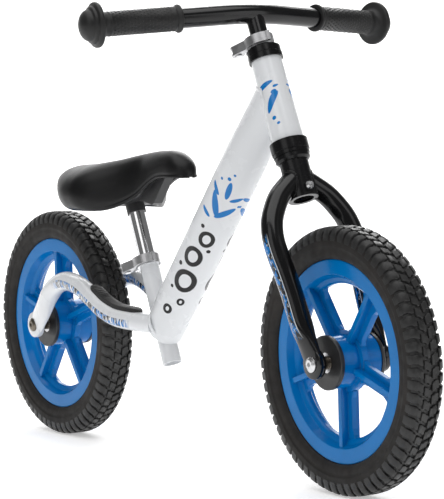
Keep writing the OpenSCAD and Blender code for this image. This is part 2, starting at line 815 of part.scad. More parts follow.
// Bar of the given radius along its bow and its two straight ends
module bar_form(r, end) {
    angles = concat([-1.001 * bar_bend], [for (i = [-5 : 5]) bar_bend * i / 5], [1.001 * bar_bend]);
    run = function(a) abs(a) > bar_bend ? end : 0;
    rotate([0, 0, 90]) swept([for (a = angles)
        [bar_bend_r * sin(a) + sign(a) * run(a) * cos(bar_bend),
         bar_bend_r * (1 - cos(a)) + run(a) * sin(bar_bend), 0, r, r]], 36);
}

module handlebar() {
    color([0.05, 0.05, 0.05]) at_bar() difference() {
        bar_form(bar_d / 2, bar_end);
        bar_form(bar_d / 2 - tube_wall, bar_end + 1);
    }
}

// Post welded under the bar, cut to the bar's round
module handlebar_post() {
    low = steerer_top - post_insertion;
    color([0.05, 0.05, 0.05]) difference() {
        at_steering() translate([0, 0, low])
            ring(post_d / 2, post_d / 2 - tube_wall, bar_z - low);
        at_bar() about_y() cylinder(r = bar_d / 2 + weld_gap, h = 2 * post_d, center = true);
    }
}

// Grip with a thin inner flange, a large outer one and a domed end
module grip() {
    bore = bar_d / 2 + press;
    start = bar_end - grip_len - 5;
    body = grip_d / 2;
    big = grip_outer_d / 2;
    dome = big - 7.5;
    f = bar_end - 1;
    outline = concat(
        [[bore, start], [grip_inner_d / 2 - 1, start], [grip_inner_d / 2, start + 1],
         [grip_inner_d / 2, start + 3], [body + 0.5, start + 5], [body, start + 6],
         [body, f - 4], [body + 1.5, f - 1], [big - 1, f], [big, f + 1.2], [big, f + 4],
         [big - 1.2, f + 5.4], [big - 4, f + 6], [big - 4.4, f + 8.5], [big - 5.5, f + 9.8]],
        [for (a = [0 : 15 : 90]) [dome * cos(a), f + 10.5 + (grip_dome - 10.5) * sin(a)]],
        [[0, bar_end + press], [bore, bar_end + press]]);
    at_bar() at_bar_end() rotate_extrude() polygon(outline);
}

module left_grip() { color([0.1, 0.1, 0.1]) grip(); }
module right_grip() { color([0.1, 0.1, 0.1]) mirror([0, 1, 0]) grip(); }

// ---- Saddle, along u from the nose tip (0) to the rear (1) ----

function saddle_x(u) = seat_pos.x + saddle_ahead - u * saddle_len;
function saddle_half(u) =
    (nose_w + (saddle_w / 2 - nose_w) * smooth((u - 0.34) / 0.34))
    * sqrt(1 - pow(clamp01((0.11 - u) / 0.112), 2))
    * sqrt(1 - pow(clamp01((u - 0.72) / 0.2805), 2));
function saddle_low(u) = seat_pos.z + saddle_rise
    - saddle_drop * smooth((u - 0.15) / 0.42) + 22 * pow(clamp01((u - 0.72) / 0.28), 2);
function saddle_top(u) =
    let (low = saddle_low(u),
        high = seat_pos.z + saddle_rise + saddle_h - 0.4 * saddle_drop * smooth((u - 0.15) / 0.7))
    low + (high - low) * sqrt(1 - pow(clamp01((0.15 - u) / 0.152), 2))
        * sqrt(1 - pow(clamp01((u - 0.86) / 0.142), 2));
// Stations lie closer together towards both round ends
function saddle_u(i) = let (t = i / saddle_n) 0.5 - 0.5 * cos(180 * t);

module saddle_cover() {
    n = 14;
    outer = [for (i = [saddle_n - 1 : -1 : 1])
        let (u = saddle_u(i), x = saddle_x(u), w = saddle_half(u), low = saddle_low(u),
            mid = low + min(8, (saddle_top(u) - low) * 0.4), rise = saddle_top(u) - mid)
        concat([[x, 0.92 * w, low]],
            [for (k = [0 : n]) let (a = 180 * k / n)
                [x, w * sign(cos(a)) * pow(abs(cos(a)), 0.9), mid + rise * pow(sin(a), 0.85)]],
            [[x, -0.92 * w, low]])];
    color([0.07, 0.07, 0.07]) difference() {
        skinned(outer);
        saddle_slab(3, pan_recess, -2, 0);
    }
}

// Slab along the saddle's underside between two heights above its lower edge
module saddle_slab(ends, top, bottom, inset) {
    skinned([for (i = [saddle_n - ends : -1 : ends])
        let (u = saddle_u(i), x = saddle_x(u), low = saddle_low(u),
            w = 0.92 * saddle_half(u) - skirt_t - inset)
        [[x, w, low + bottom], [x, w, low + top], [x, -w, low + top], [x, -w, low + bottom]]]);
}

// The seat tube's axis meets the pan at this share of the saddle's length
socket_u = (saddle_ahead + (saddle_rise - saddle_drop) / tan(seat_angle)) / saddle_len;
pan_z = saddle_low(socket_u) + pan_recess - pan_t;
socket_top = (pan_z - seat_pos.z) / sin(seat_angle) + 3;
post_top = socket_top - 4;

module saddle_base() {
    fin_t = 12;
    x0 = seat_pos.x;
    z0 = seat_pos.z + saddle_rise;
    color([0.16, 0.16, 0.17]) difference() {
        union() {
            saddle_slab(4, pan_recess - soft_gap, pan_recess - pan_t, soft_gap);
            translate([0, fin_t / 2, 0]) rotate([90, 0, 0]) linear_extrude(fin_t)
                polygon([[x0 - 60, z0 - 26.5], [x0 - 34, z0 - 31], [x0 - 27, z0 - 32.5],
                    [x0 - 22, z0 - 31], [x0 + 10, z0 + 4.6], [x0 - 14, z0 - 2.5],
                    [x0 - 38, z0 - 15.5]]);
            at_seat_tube() translate([0, 0, socket_top - 15]) cylinder(d = socket_d, h = 15);
        }
        at_seat_tube() translate([0, 0, socket_top - 17])
            cylinder(r = post_d / 2 + press, h = post_top - socket_top + 17 + press);
    }
}

module seat_post() {
    color([0.8, 0.8, 0.82]) at_seat_tube() translate([0, 0, post_bottom])
        ring(post_d / 2, post_d / 2 - tube_wall, post_top - post_bottom);
}

// ---- Nodes that only place a shared shape ----

blue = [0, 0.35, 0.7];
foam = [0.1, 0.1, 0.1];

module rear_axle() { color("silver") at_rear() axle(); }
module rear_axle_bolts() { color("silver") at_rear() axle_bolts(); }
module rear_axle_spacers() { color("dimgray") at_rear() axle_spacers(); }
module rear_rim() { color(blue) at_rear() rim(-90); }
module rear_tyre() { color(foam) at_rear() tyre(); }
module rear_bearings() { color("silver") at_rear() wheel_bearings(); }
module rear_hub_caps() { color(foam) at_rear() hub_caps(); }
module front_axle() { color("silver") at_front() axle(); }
module front_axle_bolts() { color("silver") at_front() axle_bolts(); }
module front_axle_spacers() { color("dimgray") at_front() axle_spacers(); }
module front_rim() { color(blue) at_front() rim(90); }
module front_tyre() { color(foam) at_front() tyre(); }
module front_bearings() { color("silver") at_front() wheel_bearings(); }
module front_hub_caps() { color(foam) at_front() hub_caps(); }

head_tube();
main_tube();
seat_tube();
right_stay();
left_stay();
right_footrest_pad();
left_footrest_pad();
upper_headset_cup();
lower_headset_cup();
headset_bearings();
seat_clamp_collar();
seat_clamp_skewer();
seat_clamp_nut();
rear_axle();
rear_axle_bolts();
rear_axle_spacers();
seat_post();
saddle_base();
saddle_cover();
seat_clamp_lever();
steerer();
fork_crown();
right_fork_leg();
left_fork_leg();
crown_race();
headset_top_nut();
crown_bolt();
crown_nut();
bar_clamp_collar();
bar_clamp_skewer();
bar_clamp_nut();
front_axle();
front_axle_bolts();
front_axle_spacers();
bar_clamp_lever();
handlebar();
handlebar_post();
right_grip();
left_grip();
front_rim();
front_tyre();
front_bearings();
front_hub_caps();
rear_rim();
rear_tyre();
rear_bearings();
rear_hub_caps();
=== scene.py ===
"""A child's balance bike: paint, foam tyres, saddle, grips, footrests, clamps and the stage."""
import math

import bpy
from mathutils import Matrix, Vector, noise


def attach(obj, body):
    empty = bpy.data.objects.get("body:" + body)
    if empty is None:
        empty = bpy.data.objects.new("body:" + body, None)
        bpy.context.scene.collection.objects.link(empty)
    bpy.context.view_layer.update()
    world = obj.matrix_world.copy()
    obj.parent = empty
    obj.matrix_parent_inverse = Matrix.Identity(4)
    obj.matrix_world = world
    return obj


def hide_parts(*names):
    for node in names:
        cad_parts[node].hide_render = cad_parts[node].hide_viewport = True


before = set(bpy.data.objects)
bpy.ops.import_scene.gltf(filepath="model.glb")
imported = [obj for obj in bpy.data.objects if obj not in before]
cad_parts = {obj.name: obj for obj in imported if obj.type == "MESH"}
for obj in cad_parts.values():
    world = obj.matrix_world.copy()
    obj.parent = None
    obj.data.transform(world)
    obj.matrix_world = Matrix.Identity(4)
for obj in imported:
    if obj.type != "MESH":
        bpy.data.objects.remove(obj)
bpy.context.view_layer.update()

bl_info = {
    "name": "Balance bike",
    "version": (1, 0, 0),
    "blender": (4, 5, 0),
    "location": "View3D > Sidebar > Balance bike",
    "description": "Builds the finished surfaces of a child's balance bike round its frame",
    "category": "Object",
}

MM = 0.001

# ---- Places, in millimetres: X forward, Y to the rider's left, Z up ----

WHEELBASE = 608.0
WHEEL_R = 142.5
FRONT_AXLE = Vector((WHEELBASE / 2, 0.0, WHEEL_R))
REAR_AXLE = Vector((-WHEELBASE / 2, 0.0, WHEEL_R))
TYRE_HALF = 20.25
SHOULDER_R = 12.0
SHOULDER_Y = 8.25
DROPOUT_Y = 42.5
DROPOUT_T = 8.0
DROPOUT_R = 16.0
STAY_R = 11.75
STAY_SPREAD = 46.5
STAY_RISE = 51.0
LEG_R = 12.0
LEG_SPREAD = 52.0
LEG_FOOT = 46.0
CROWN_HEIGHT = 183.0

FORK_RAKE = 0.5
HEAD_ANGLE = math.radians(67)
STEER_UP = Vector((-math.cos(HEAD_ANGLE), 0.0, math.sin(HEAD_ANGLE)))
STEER_FORE = Vector((math.sin(HEAD_ANGLE), 0.0, math.cos(HEAD_ANGLE)))
STEER_POS = FRONT_AXLE - FORK_RAKE * STEER_FORE
HEAD_LOW = 249.6
HEAD_TUBE_R = 17.5
CROWN_R = 15.9

SEAT_ANGLE = math.radians(68)
SEAT_UP = Vector((-math.cos(SEAT_ANGLE), 0.0, math.sin(SEAT_ANGLE)))
SEAT_POS = Vector((-46.0, 0.0, 110.5))

MAIN_LOW = SEAT_POS + 43 * SEAT_UP
MAIN_HIGH = STEER_POS + (HEAD_LOW + 55) * STEER_UP
MAIN_R = 25.0
MAIN_HEAD_HALF = 18.25
MAIN_SEAT_HALF = 21.0
SEAT_TUBE_R = 12.2

BAR_POS = STEER_POS + 403.1 * STEER_UP
BAR_TILT = math.radians(20)
BAR_BEND = math.radians(10)
BAR_BEND_R = 250.0
BAR_END = 142.0
BAR_R = 11.1
GRIP_START = BAR_END - 95
BAR_FORE = Vector((math.cos(BAR_TILT), 0.0, math.sin(BAR_TILT)))
BAR_LEFT = Vector((0.0, 1.0, 0.0))

SIDES = (("left", 1), ("right", -1))

# ---- The camera, in millimetres ----

CAMERA_POS = Vector((2178.31, -1373.89, 418.45))
CAMERA_RIGHT = Vector((0.54706, 0.83659, -0.02908))
CAMERA_UP = Vector((-0.03990, 0.06076, 0.99735))
CAMERA_AHEAD = Vector((-0.83614, 0.54445, -0.06662))
CAMERA_LENS = 160.0052104
CAMERA_SENSOR = 36.0


# ---- Sizes and colours that a user may change ----

def colour(name, description, value):
    return bpy.props.FloatVectorProperty(
        name=name, description=description, default=value, size=3, subtype="COLOR",
        min=0.0, max=1.0)


def length(name, description, millimetres):
    return bpy.props.FloatProperty(
        name=name, description=description, default=millimetres * MM, unit="LENGTH",
        subtype="DISTANCE", min=0.0, precision=4)


class BalanceBikeColours(bpy.types.PropertyGroup):
    frame_paint: colour("Frame paint", "Powder coat of the frame tubes", (0.74, 0.755, 0.775))
    fork_paint: colour("Fork paint", "Gloss paint of the fork, bar and headset",
                       (0.003, 0.003, 0.0035))
    wheel_plastic: colour("Wheel plastic", "Moulded wheels", (0.0, 0.172, 0.50))
    tread_foam: colour("Tread foam", "Outer face of the tyres", (0.013, 0.013, 0.013))
    wall_foam: colour("Side wall foam", "Side walls of the tyres", (0.0105, 0.0090, 0.0080))
    saddle_skin: colour("Saddle skin", "Synthetic leather of the saddle", (0.003, 0.003, 0.0033))
    print_blue: colour("Blue print", "Blue of the printed pattern", (0.0, 0.17, 0.50))
    print_dark: colour("Dark print", "Black of the printed pattern", (0.002, 0.002, 0.003))


class BalanceBikeSizes(bpy.types.PropertyGroup):
    tread_pitches: bpy.props.IntProperty(
        name="Tread pitches", description="Number of tread blocks round a tyre",
        default=66, min=30, max=90)
    tread_depth: length("Tread depth", "Height of the tread blocks", 2.2)
    weld_width: length("Weld width", "Width of the weld beads", 4.2)
    pad_rib_pitch: length("Footrest rib pitch", "Distance between the ribs of a footrest", 3.2)
    grip_dot: length("Grip dot", "Diameter of the raised dots on the grips", 2.0)
    crown_fullness: bpy.props.FloatProperty(
        name="Saddle fullness", description="How far the saddle's flanks swell out",
        default=0.9, min=0.6, max=1.0, subtype="FACTOR")


# ---- Finishes ----

DUST_GREY = (0.42, 0.41, 0.40)
PINSTRIPE_GREY = (0.60, 0.63, 0.66)
FLECK_GREY = (0.62, 0.66, 0.70)
# Half width of a mark in the direction that it goes right through
THROUGH = 1000.0
ALONG_SEAT_TUBE = (0, SEAT_ANGLE - math.pi / 2, 0)


class Finish:
    """A material with its shader and the nodes that feed it."""

    def __init__(self, name, metallic=0.0, **constants):
        self.material = bpy.data.materials.new(name)
        self.material.use_nodes = True
        self.nodes = self.material.node_tree.nodes
        self.links = self.material.node_tree.links
        self.shader = self.nodes["Principled BSDF"]
        self.shader.inputs["Metallic"].default_value = metallic
        for socket, value in constants.items():
            self.shader.inputs[socket.replace("_", " ")].default_value = value
        self.coords = self.nodes.new("ShaderNodeTexCoord")
        self.place = self.coords.outputs["Object"]
        self.heights = []

    def put(self, socket, value):
        if isinstance(value, bpy.types.NodeSocket):
            self.links.new(value, socket)
        else:
            socket.default_value = value

    def add(self, kind, inputs, **settings):
        """A node with its settings, its inputs set to values or linked to sockets."""
        node = self.nodes.new("ShaderNode" + kind)
        for setting, value in settings.items():
            setattr(node, setting, value)
        for name, value in inputs.items():
            self.put(node.inputs[name], value)
        return node

    def math(self, operation, a, b=0.0, clamp=False):
        node = self.add("Math", {0: a, 1: b}, operation=operation, use_clamp=clamp)
        return node.outputs[0]

    def noise(self, scale, detail=3.0, roughness=0.55, place=None):
        node = self.add("TexNoise", {"Scale": scale, "Detail": detail,
                                     "Roughness": roughness, "Vector": place or self.place})
        return node.outputs["Fac"]

    def streaks(self, scale, detail, turn=(0, 0, 0), place=None, roughness=0.55):
        """Noise with a scale of its own along each axis."""
        node = self.add("Mapping", {"Scale": scale, "Rotation": turn,
                                    "Vector": place or self.place})
        return self.noise(1.0, detail, roughness, node.outputs[0])

    def cells(self, scale, feature="DISTANCE_TO_EDGE"):
        node = self.add("TexVoronoi", {"Scale": scale, "Vector": self.place}, feature=feature)
        return node.outputs["Distance"]

    def span(self, value, low, high, to_low=0.0, to_high=1.0):
        node = self.add("MapRange", {"From Min": low, "From Max": high, "To Min": to_low,
                                     "To Max": to_high, "Value": value})
        return node.outputs["Result"]

    def mixed(self, share, a, b):
        a, b = ((*rgb, 1.0) if isinstance(rgb, tuple) else rgb for rgb in (a, b))
        return self.add("Mix", {"Factor": share, 6: a, 7: b}, data_type="RGBA").outputs[2]

    def toned(self, rgb, darker, lighter, scale, detail=4.0):
        """A colour that wanders between a darker and a lighter shade of itself."""
        dark = tuple(c * darker for c in rgb)
        light = tuple(min(1.0, c * lighter) for c in rgb)
        return self.mixed(self.noise(scale, detail), dark, light)

    def touched(self, base, mask, share, rgb):
        """The base with a share of another colour where the mask is 1."""
        return self.mixed(self.math("MULTIPLY", mask, share), base, rgb)

    def paint(self, value):
        self.put(self.shader.inputs["Base Color"], value)
        return self

    def shine(self, low, high, scale):
        """Roughness that wanders between two values."""
        cloud = self.noise(scale, 4.0)
        self.put(self.shader.inputs["Roughness"], self.span(cloud, 0.3, 0.7, low, high))
        return self

    def relief(self, height, depth_mm, strength):
        node = self.add("Bump", {"Strength": strength, "Distance": depth_mm * MM,
                                 "Height": height})
        if self.heights:
            self.links.new(self.heights[-1].outputs["Normal"], node.inputs["Normal"])
        self.heights.append(node)
        self.links.new(node.outputs["Normal"], self.shader.inputs["Normal"])
        return self

    def soft_edges(self, radius_mm):
        """Rounds the light on sharp edges, under the relief that is already there."""
        node = self.add("Bevel", {"Radius": radius_mm * MM}, samples=4)
        self.links.new(node.outputs["Normal"], self.heights[0].inputs["Normal"])
        return self

    def leaf(self, place, centre, half_sizes, turn):
        """1 inside an ellipse or ellipsoid, 0 outside it."""
        node = self.add("Mapping", {"Location": tuple(c * MM for c in centre),
                                    "Rotation": turn, "Vector": place,
                                    "Scale": tuple(h * MM for h in half_sizes)},
                        vector_type="TEXTURE")
        size = self.add("VectorMath", {0: node.outputs[0]}, operation="LENGTH")
        return self.span(size.outputs["Value"], 1.03, 0.97)

    def along_and_across(self):
        """The piece's own map: metres along its route, and metres round from its flank."""
        uv = self.coords.outputs["UV"]
        split = self.add("SeparateXYZ", {0: uv})
        return uv, split.outputs[0], split.outputs[1]

    def both(self, *masks):
        """1 only where every mask is 1."""
        total = masks[0]
        for mask in masks[1:]:
            total = self.math("MULTIPLY", total, mask)
        return total

    def any_of(self, masks):
        """1 where any mask is 1."""
        total = masks[0]
        for mask in masks[1:]:
            total = self.math("MAXIMUM", total, mask)
        return total


def cached(make):
    """Each finish is made once and then shared."""
    made = {}

    def get(*args):
        if args not in made:
            made[args] = make(*args).material
        return made[args]
    return get


def colours():
    return bpy.context.scene.bike_colours


def sizes():
    return bpy.context.scene.bike_sizes


def powder_coat(f):
    """Base colour of the white coat with faint clouds and a few rubbed, dusty spots."""
    base = f.toned(colours().frame_paint, 0.94, 1.03, 9.0)
    rubbed = f.span(f.noise(160.0, 6.0, 0.7), 0.69, 0.76)
    patch = f.span(f.noise(14.0, 2.0), 0.54, 0.66)
    return f.touched(base, rubbed, f.math("MULTIPLY", patch, 0.35), DUST_GREY)


def coated(name, **looks):
    """Start of a white coat under a thin clear layer."""
    return Finish(name, **{"Coat_Weight": 0.5, "Coat_Roughness": 0.08, "IOR": 1.5, **looks})


def powdery(f, low, high):
    """Ends a white coat: uneven gloss and the faint skin of baked powder."""
    f.shine(low, high, 30.0)
    return f.relief(f.noise(650.0, 2.0), 0.05, 0.5)


@cached
def white_coat():
    f = coated("white_coat")
    return powdery(f.paint(powder_coat(f)), 0.20, 0.34)


@cached
def printed_main_coat():
    """White coat with rings, dots and leaves printed along both flanks of the main tube."""
    f = coated("printed_main_coat", Specular_IOR_Level=0.3, Coat_Weight=0.15)
    uv = f.coords.outputs["UV"]
    below_middle, squeeze = 17, 0.86

    def mark(u, v, long, wide, turn=0.0):
        return f.leaf(uv, (u, v - below_middle, 0), (long, wide, THROUGH), (0, 0, turn))

    dark = []
    for u, v, r, width in ((104, -1, 16.5, 6.6), (141, 3, 14, 5.8), (172, -3, 11.5, 5.0),
                           (55, 4, 7, 3.8), (73, -7, 5.5, 3.0)):
        outer = mark(u, v, r, r * squeeze)
        inner = mark(u, v, r - width, r * squeeze - width)
        dark.append(f.math("SUBTRACT", outer, inner, clamp=True))
    dark += [mark(u, v, r, r) for u, v, r in
             ((122, 14, 2.8), (157, -11, 2.6), (186, 8, 2.6), (87, 11, 2.2))]
    blue = [mark(*leaf) for leaf in
            ((222, 6, 17, 4.4, 0.5), (216, -9, 14, 3.8, -0.75), (247, -2, 12, 3.4, 0.1),
             (205, 13, 8, 2.6, 1.25), (240, 14, 9, 2.8, 0.95), (238, -15, 8, 2.6, -1.1))]
    blue += [mark(u, v, r, r) for u, v, r in
             ((262, 3, 2.4), (270, -1, 1.6), (256, 12, 1.8), (229, -21, 1.7))]
    base = f.mixed(f.any_of(dark), powder_coat(f), tuple(colours().print_dark))
    base = f.mixed(f.any_of(blue), base, tuple(colours().print_blue))
    return powdery(f.paint(base), 0.18, 0.32)


@cached
def printed_head_coat():
    """White coat with two blue leaves and four dots on each side of the head tube."""
    f = coated("printed_head_coat")
    marks = []
    for up, fore, long, wide, turn in ((64, 4, 11, 3.0, 0.45), (44, 9, 13, 3.4, -0.30),
                                       (55, 13, 2.6, 1.9, 0.0), (61, 15, 1.8, 1.3, 0.0),
                                       (26, 8, 2.4, 2.2, 0.0), (19, 11, 1.7, 1.5, 0.0)):
        centre = STEER_POS + (HEAD_LOW + up) * STEER_UP + fore * STEER_FORE
        marks.append(f.leaf(f.place, centre, (long, 60, wide),
                            (0, 2 * math.pi - HEAD_ANGLE + turn, 0)))
    base = f.mixed(f.any_of(marks), powder_coat(f), tuple(colours().print_blue))
    return powdery(f.paint(base), 0.18, 0.32)


@cached
def printed_stay_coat():
    """White coat with a strip of small blue and dark ticks along the stay's outer face."""
    f = coated("printed_stay_coat")
    uv, along, across = f.along_and_across()
    ticks = f.span(f.streaks((640, 70, 1), 1.0, (0, 0, 0.25), uv), 0.44, 0.47)
    strip = f.span(f.math("ABSOLUTE", f.math("ADD", across, 0.003)), 0.0054, 0.0046)
    ends = f.both(f.span(along, 0.092, 0.110), f.span(along, 0.252, 0.244))
    hue = f.streaks((120, 90, 1), 0.0, place=uv)
    ink = f.mixed(f.span(hue, 0.48, 0.52), tuple(colours().print_blue),
                  tuple(colours().print_dark))
    f.paint(f.mixed(f.both(ticks, strip, ends), powder_coat(f), ink))
    return powdery(f, 0.20, 0.34)


def black_coat(f):
    base = f.toned(colours().fork_paint, 0.7, 1.5, 25.0)
    specks = f.span(f.noise(900.0, 2.0), 0.72, 0.80)
    return f.touched(base, specks, 0.2, (0.03, 0.03, 0.033))


def glossy(f, base, low, high, scale):
    """Ends a black coat: uneven gloss over a faint orange-peel skin."""
    f.paint(base).shine(low, high, scale)
    return f.relief(f.noise(520.0, 2.0), 0.05, 0.6)


@cached
def gloss_black():
    f = Finish("gloss_black", Coat_Weight=0.2, Coat_Roughness=0.04, IOR=1.4)
    return glossy(f, black_coat(f), 0.12, 0.24, 40.0)


@cached
def edged_black():
    f = Finish("edged_black", Specular_IOR_Level=0.35, Coat_Weight=0.1, Coat_Roughness=0.06,
               IOR=1.4)
    return glossy(f, black_coat(f), 0.18, 0.30, 60.0).soft_edges(0.5)


@cached
def printed_black():
    """Black gloss with blue patches inside two pale pinstripes on the leg's outer face."""
    f = Finish("printed_black", Coat_Weight=0.2, Coat_Roughness=0.04, IOR=1.4)
    uv, along, across = f.along_and_across()
    ends = f.both(f.span(along, 0.082, 0.092), f.span(along, 0.200, 0.188))
    stripes = []
    for aside in (-0.0052, 0.0052):
        off = f.math("ABSOLUTE", f.math("ADD", across, aside))
        stripes.append(f.span(off, 0.00062, 0.00042))
    inside = f.span(f.math("ABSOLUTE", across), 0.0044, 0.0040)
    patches = f.streaks((95, 230, 1), 2.0, (0, 0, 0.4), uv)
    flecks = f.streaks((260, 520, 1), 1.0, (0, 0, 0.5), uv)
    base = f.mixed(f.both(f.span(patches, 0.47, 0.50), inside, ends), black_coat(f),
                   tuple(colours().print_blue))
    base = f.mixed(f.both(f.span(flecks, 0.62, 0.65), inside, ends), base, FLECK_GREY)
    base = f.mixed(f.both(f.any_of(stripes), ends), base, PINSTRIPE_GREY)
    return glossy(f, base, 0.12, 0.24, 40.0)


@cached
def moulded_blue():
    f = Finish("moulded_blue", Specular_IOR_Level=0.28, IOR=1.4)
    base = f.toned(colours().wheel_plastic, 0.86, 1.12, 22.0)
    scuffs = f.streaks((90, 60, 900), 5.0, (0.3, 0.2, 0.1), roughness=0.7)
    base = f.touched(base, f.span(scuffs, 0.66, 0.76), 0.22, (0.01, 0.24, 0.56))
    f.paint(base).shine(0.09, 0.19, 60.0)
    return f.relief(f.noise(1400.0, 2.0), 0.04, 0.5).soft_edges(1.6)


@cached
def tread_foam():
    f = Finish("tread_foam", Specular_IOR_Level=0.42)
    dust = f.span(f.noise(70.0, 5.0, 0.65), 0.50, 0.74)
    base = f.toned(colours().tread_foam, 0.6, 1.9, 300.0)
    f.paint(f.touched(base, dust, 0.18, (0.06, 0.057, 0.054)))
    f.shine(0.34, 0.52, 120.0)
    f.relief(f.noise(1600.0, 3.0), 0.10, 0.6)
    return f.relief(f.noise(260.0, 3.0), 0.22, 0.5)


@cached
def wall_foam():
    """Side wall: smooth foam with a trace of brown."""
    f = Finish("wall_foam", Specular_IOR_Level=0.35)
    base = f.toned(colours().wall_foam, 0.65, 1.7, 140.0)
    worn = f.span(f.noise(26.0, 4.0), 0.52, 0.70)
    f.paint(f.touched(base, worn, 0.22, (0.034, 0.025, 0.020)))
    f.shine(0.58, 0.78, 90.0)
    return f.relief(f.noise(1200.0, 3.0), 0.09, 0.6)


@cached
def saddle_leather():
    f = Finish("saddle_leather", Specular_IOR_Level=0.28)
    base = f.toned(colours().saddle_skin, 0.75, 1.5, 30.0)
    worn = f.span(f.noise(11.0, 3.0), 0.5, 0.75)
    f.paint(f.touched(base, worn, 0.25, (0.014, 0.014, 0.0145)))
    f.shine(0.30, 0.41, 55.0)
    f.relief(f.cells(900.0), 0.10, 0.55)
    return f.relief(f.noise(380.0, 3.0), 0.10, 0.5)


@cached
def base_plastic():
    f = Finish("base_plastic", Specular_IOR_Level=0.45)
    base = f.mixed(f.noise(60.0, 4.0), (0.016, 0.016, 0.017), (0.040, 0.040, 0.042))
    f.paint(base).shine(0.38, 0.52, 80.0)
    f.relief(f.cells(1500.0, "F1"), 0.06, 0.5)
    return f.relief(f.noise(900.0, 2.0), 0.05, 0.4).soft_edges(0.8)


@cached
def cap_plastic():
    f = Finish("cap_plastic", Specular_IOR_Level=0.5)
    base = f.mixed(f.noise(90.0, 4.0), (0.010, 0.010, 0.011), (0.024, 0.024, 0.025))
    f.paint(base).shine(0.28, 0.42, 110.0)
    return f.relief(f.noise(1500.0, 2.0), 0.04, 0.5).soft_edges(0.6)


@cached
def soft_rubber(name, tone, low, high):
    f = Finish(name, Specular_IOR_Level=0.40)
    f.paint(f.toned((tone, tone, tone), 0.6, 1.6, 160.0, 5.0)).shine(low, high, 70.0)
    f.relief(f.noise(2200.0, 2.0), 0.06, 0.6)
    return f.relief(f.noise(420.0, 3.0), 0.07, 0.5)


@cached
def chrome():
    f = Finish("chrome", metallic=1.0)
    f.paint(f.mixed(f.noise(25.0, 3.0), (0.78, 0.79, 0.81), (0.92, 0.92, 0.93)))
    f.shine(0.05, 0.12, 60.0)
    # Fine rub marks along the post
    return f.relief(f.streaks((900, 900, 12), 3.0, ALONG_SEAT_TUBE), 0.012, 0.5)


@cached
def metal(name, low_tone, high_tone, low_rough, high_rough, edge):
    f = Finish(name, metallic=1.0)
    cloud = f.noise(240.0, 5.0, 0.6)
    f.paint(f.mixed(cloud, low_tone, high_tone)).shine(low_rough, high_rough, 180.0)
    f.relief(f.streaks((2400, 300, 300), 3.0), 0.02, 0.5)
    return f.relief(f.noise(900.0, 2.0), 0.02, 0.4).soft_edges(edge)


def zinc_steel():
    return metal("zinc_steel", (0.48, 0.48, 0.49), (0.78, 0.78, 0.79), 0.16, 0.34, 0.4)


def dark_steel():
    return metal("dark_steel", (0.10, 0.085, 0.07), (0.24, 0.21, 0.17), 0.24, 0.42, 0.4)


def bright_alloy():
    return metal("bright_alloy", (0.82, 0.82, 0.84), (0.96, 0.96, 0.97), 0.26, 0.40, 0.5)


@cached
def lever_alloy():
    """Grey alloy, brushed along the tube."""
    f = Finish("lever_alloy", metallic=1.0)
    brushed = f.streaks((160, 160, 2600), 4.0, ALONG_SEAT_TUBE)
    f.paint(f.mixed(brushed, (0.34, 0.34, 0.35), (0.66, 0.66, 0.67))).shine(0.28, 0.42, 90.0)
    return f.relief(brushed, 0.03, 0.5).soft_edges(0.5)


@cached
def weld_coat():
    f = Finish("weld_coat", Coat_Weight=0.4, Coat_Roughness=0.1, IOR=1.5)
    f.paint(powder_coat(f)).shine(0.24, 0.38, 60.0)
    return f.relief(f.noise(500.0, 3.0), 0.12, 0.6)


@cached
def floor_paper():
    f = Finish("floor_paper", Specular_IOR_Level=0.1)
    f.paint(f.mixed(f.noise(3.0, 3.0), (0.90, 0.90, 0.90), (0.93, 0.93, 0.93)))
    # A little light of its own, as a lit sweep of paper has
    f.shader.inputs["Emission Color"].default_value = (1.0, 1.0, 1.0, 1.0)
    f.shader.inputs["Emission Strength"].default_value = 0.42
    return f.shine(0.75, 0.9, 4.0).relief(f.noise(300.0, 3.0), 0.03, 0.3)


# ---- Making pieces ----

def piece(name, verts, faces, finishes, body=None, instead_of=(), record_slot=None,
          uvs=None, face_finish=None, sharp=40.0):
    """A mesh piece from points in millimetres, on a body, in place of some nodes."""
    mesh = bpy.data.meshes.new(name)
    mesh.from_pydata([tuple(c * MM for c in v) for v in verts], [], faces)
    mesh.validate()
    for m in finishes:
        mesh.materials.append(m)
    if uvs:
        layer = mesh.uv_layers.new(name="Along")
        for loop in mesh.loops:
            layer.data[loop.index].uv = uvs[loop.vertex_index]
    if face_finish:
        for polygon in mesh.polygons:
            polygon.material_index = face_finish(polygon)
    obj = bpy.data.objects.new(name, mesh)
    bpy.context.scene.collection.objects.link(obj)
    mesh.shade_smooth()
    mesh.set_sharp_from_angle(angle=math.radians(sharp))
    if body:
        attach(obj, body)
    if instead_of:
        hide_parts(*instead_of)
    return obj


def dress(names, material):
    """Gives nodes that keep their shape their finish."""
    for name in names:
        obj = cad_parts[name]
        if obj.material_slots:
            for s in obj.material_slots:
                s.material = material
        else:
            obj.data.materials.append(material)


def clamped(t):
    return min(1.0, max(0.0, t))


def smoothstep(t):
    t = clamped(t)
    return t * t * (3 - 2 * t)


def arch(t):
    """Falls from 1 at t = 0 along a quarter circle to 0 at t = 1."""
    return math.sqrt(max(0.0, 1 - clamped(t) ** 2))


def sideways(ahead):
    """The two directions across a route: level, and square to it."""
    level = (Vector((0, 1, 0)) - ahead.y * ahead).normalized()
    return level, ahead.cross(level)


def turned(count):
    """Angles round a full turn."""
    return [2 * math.pi * k / count for k in range(count)]


def ellipse(centre, one, two, count):
    """Points round an ellipse, given by its two half axes."""
    return [centre + math.cos(a) * one + math.sin(a) * two for a in turned(count)]


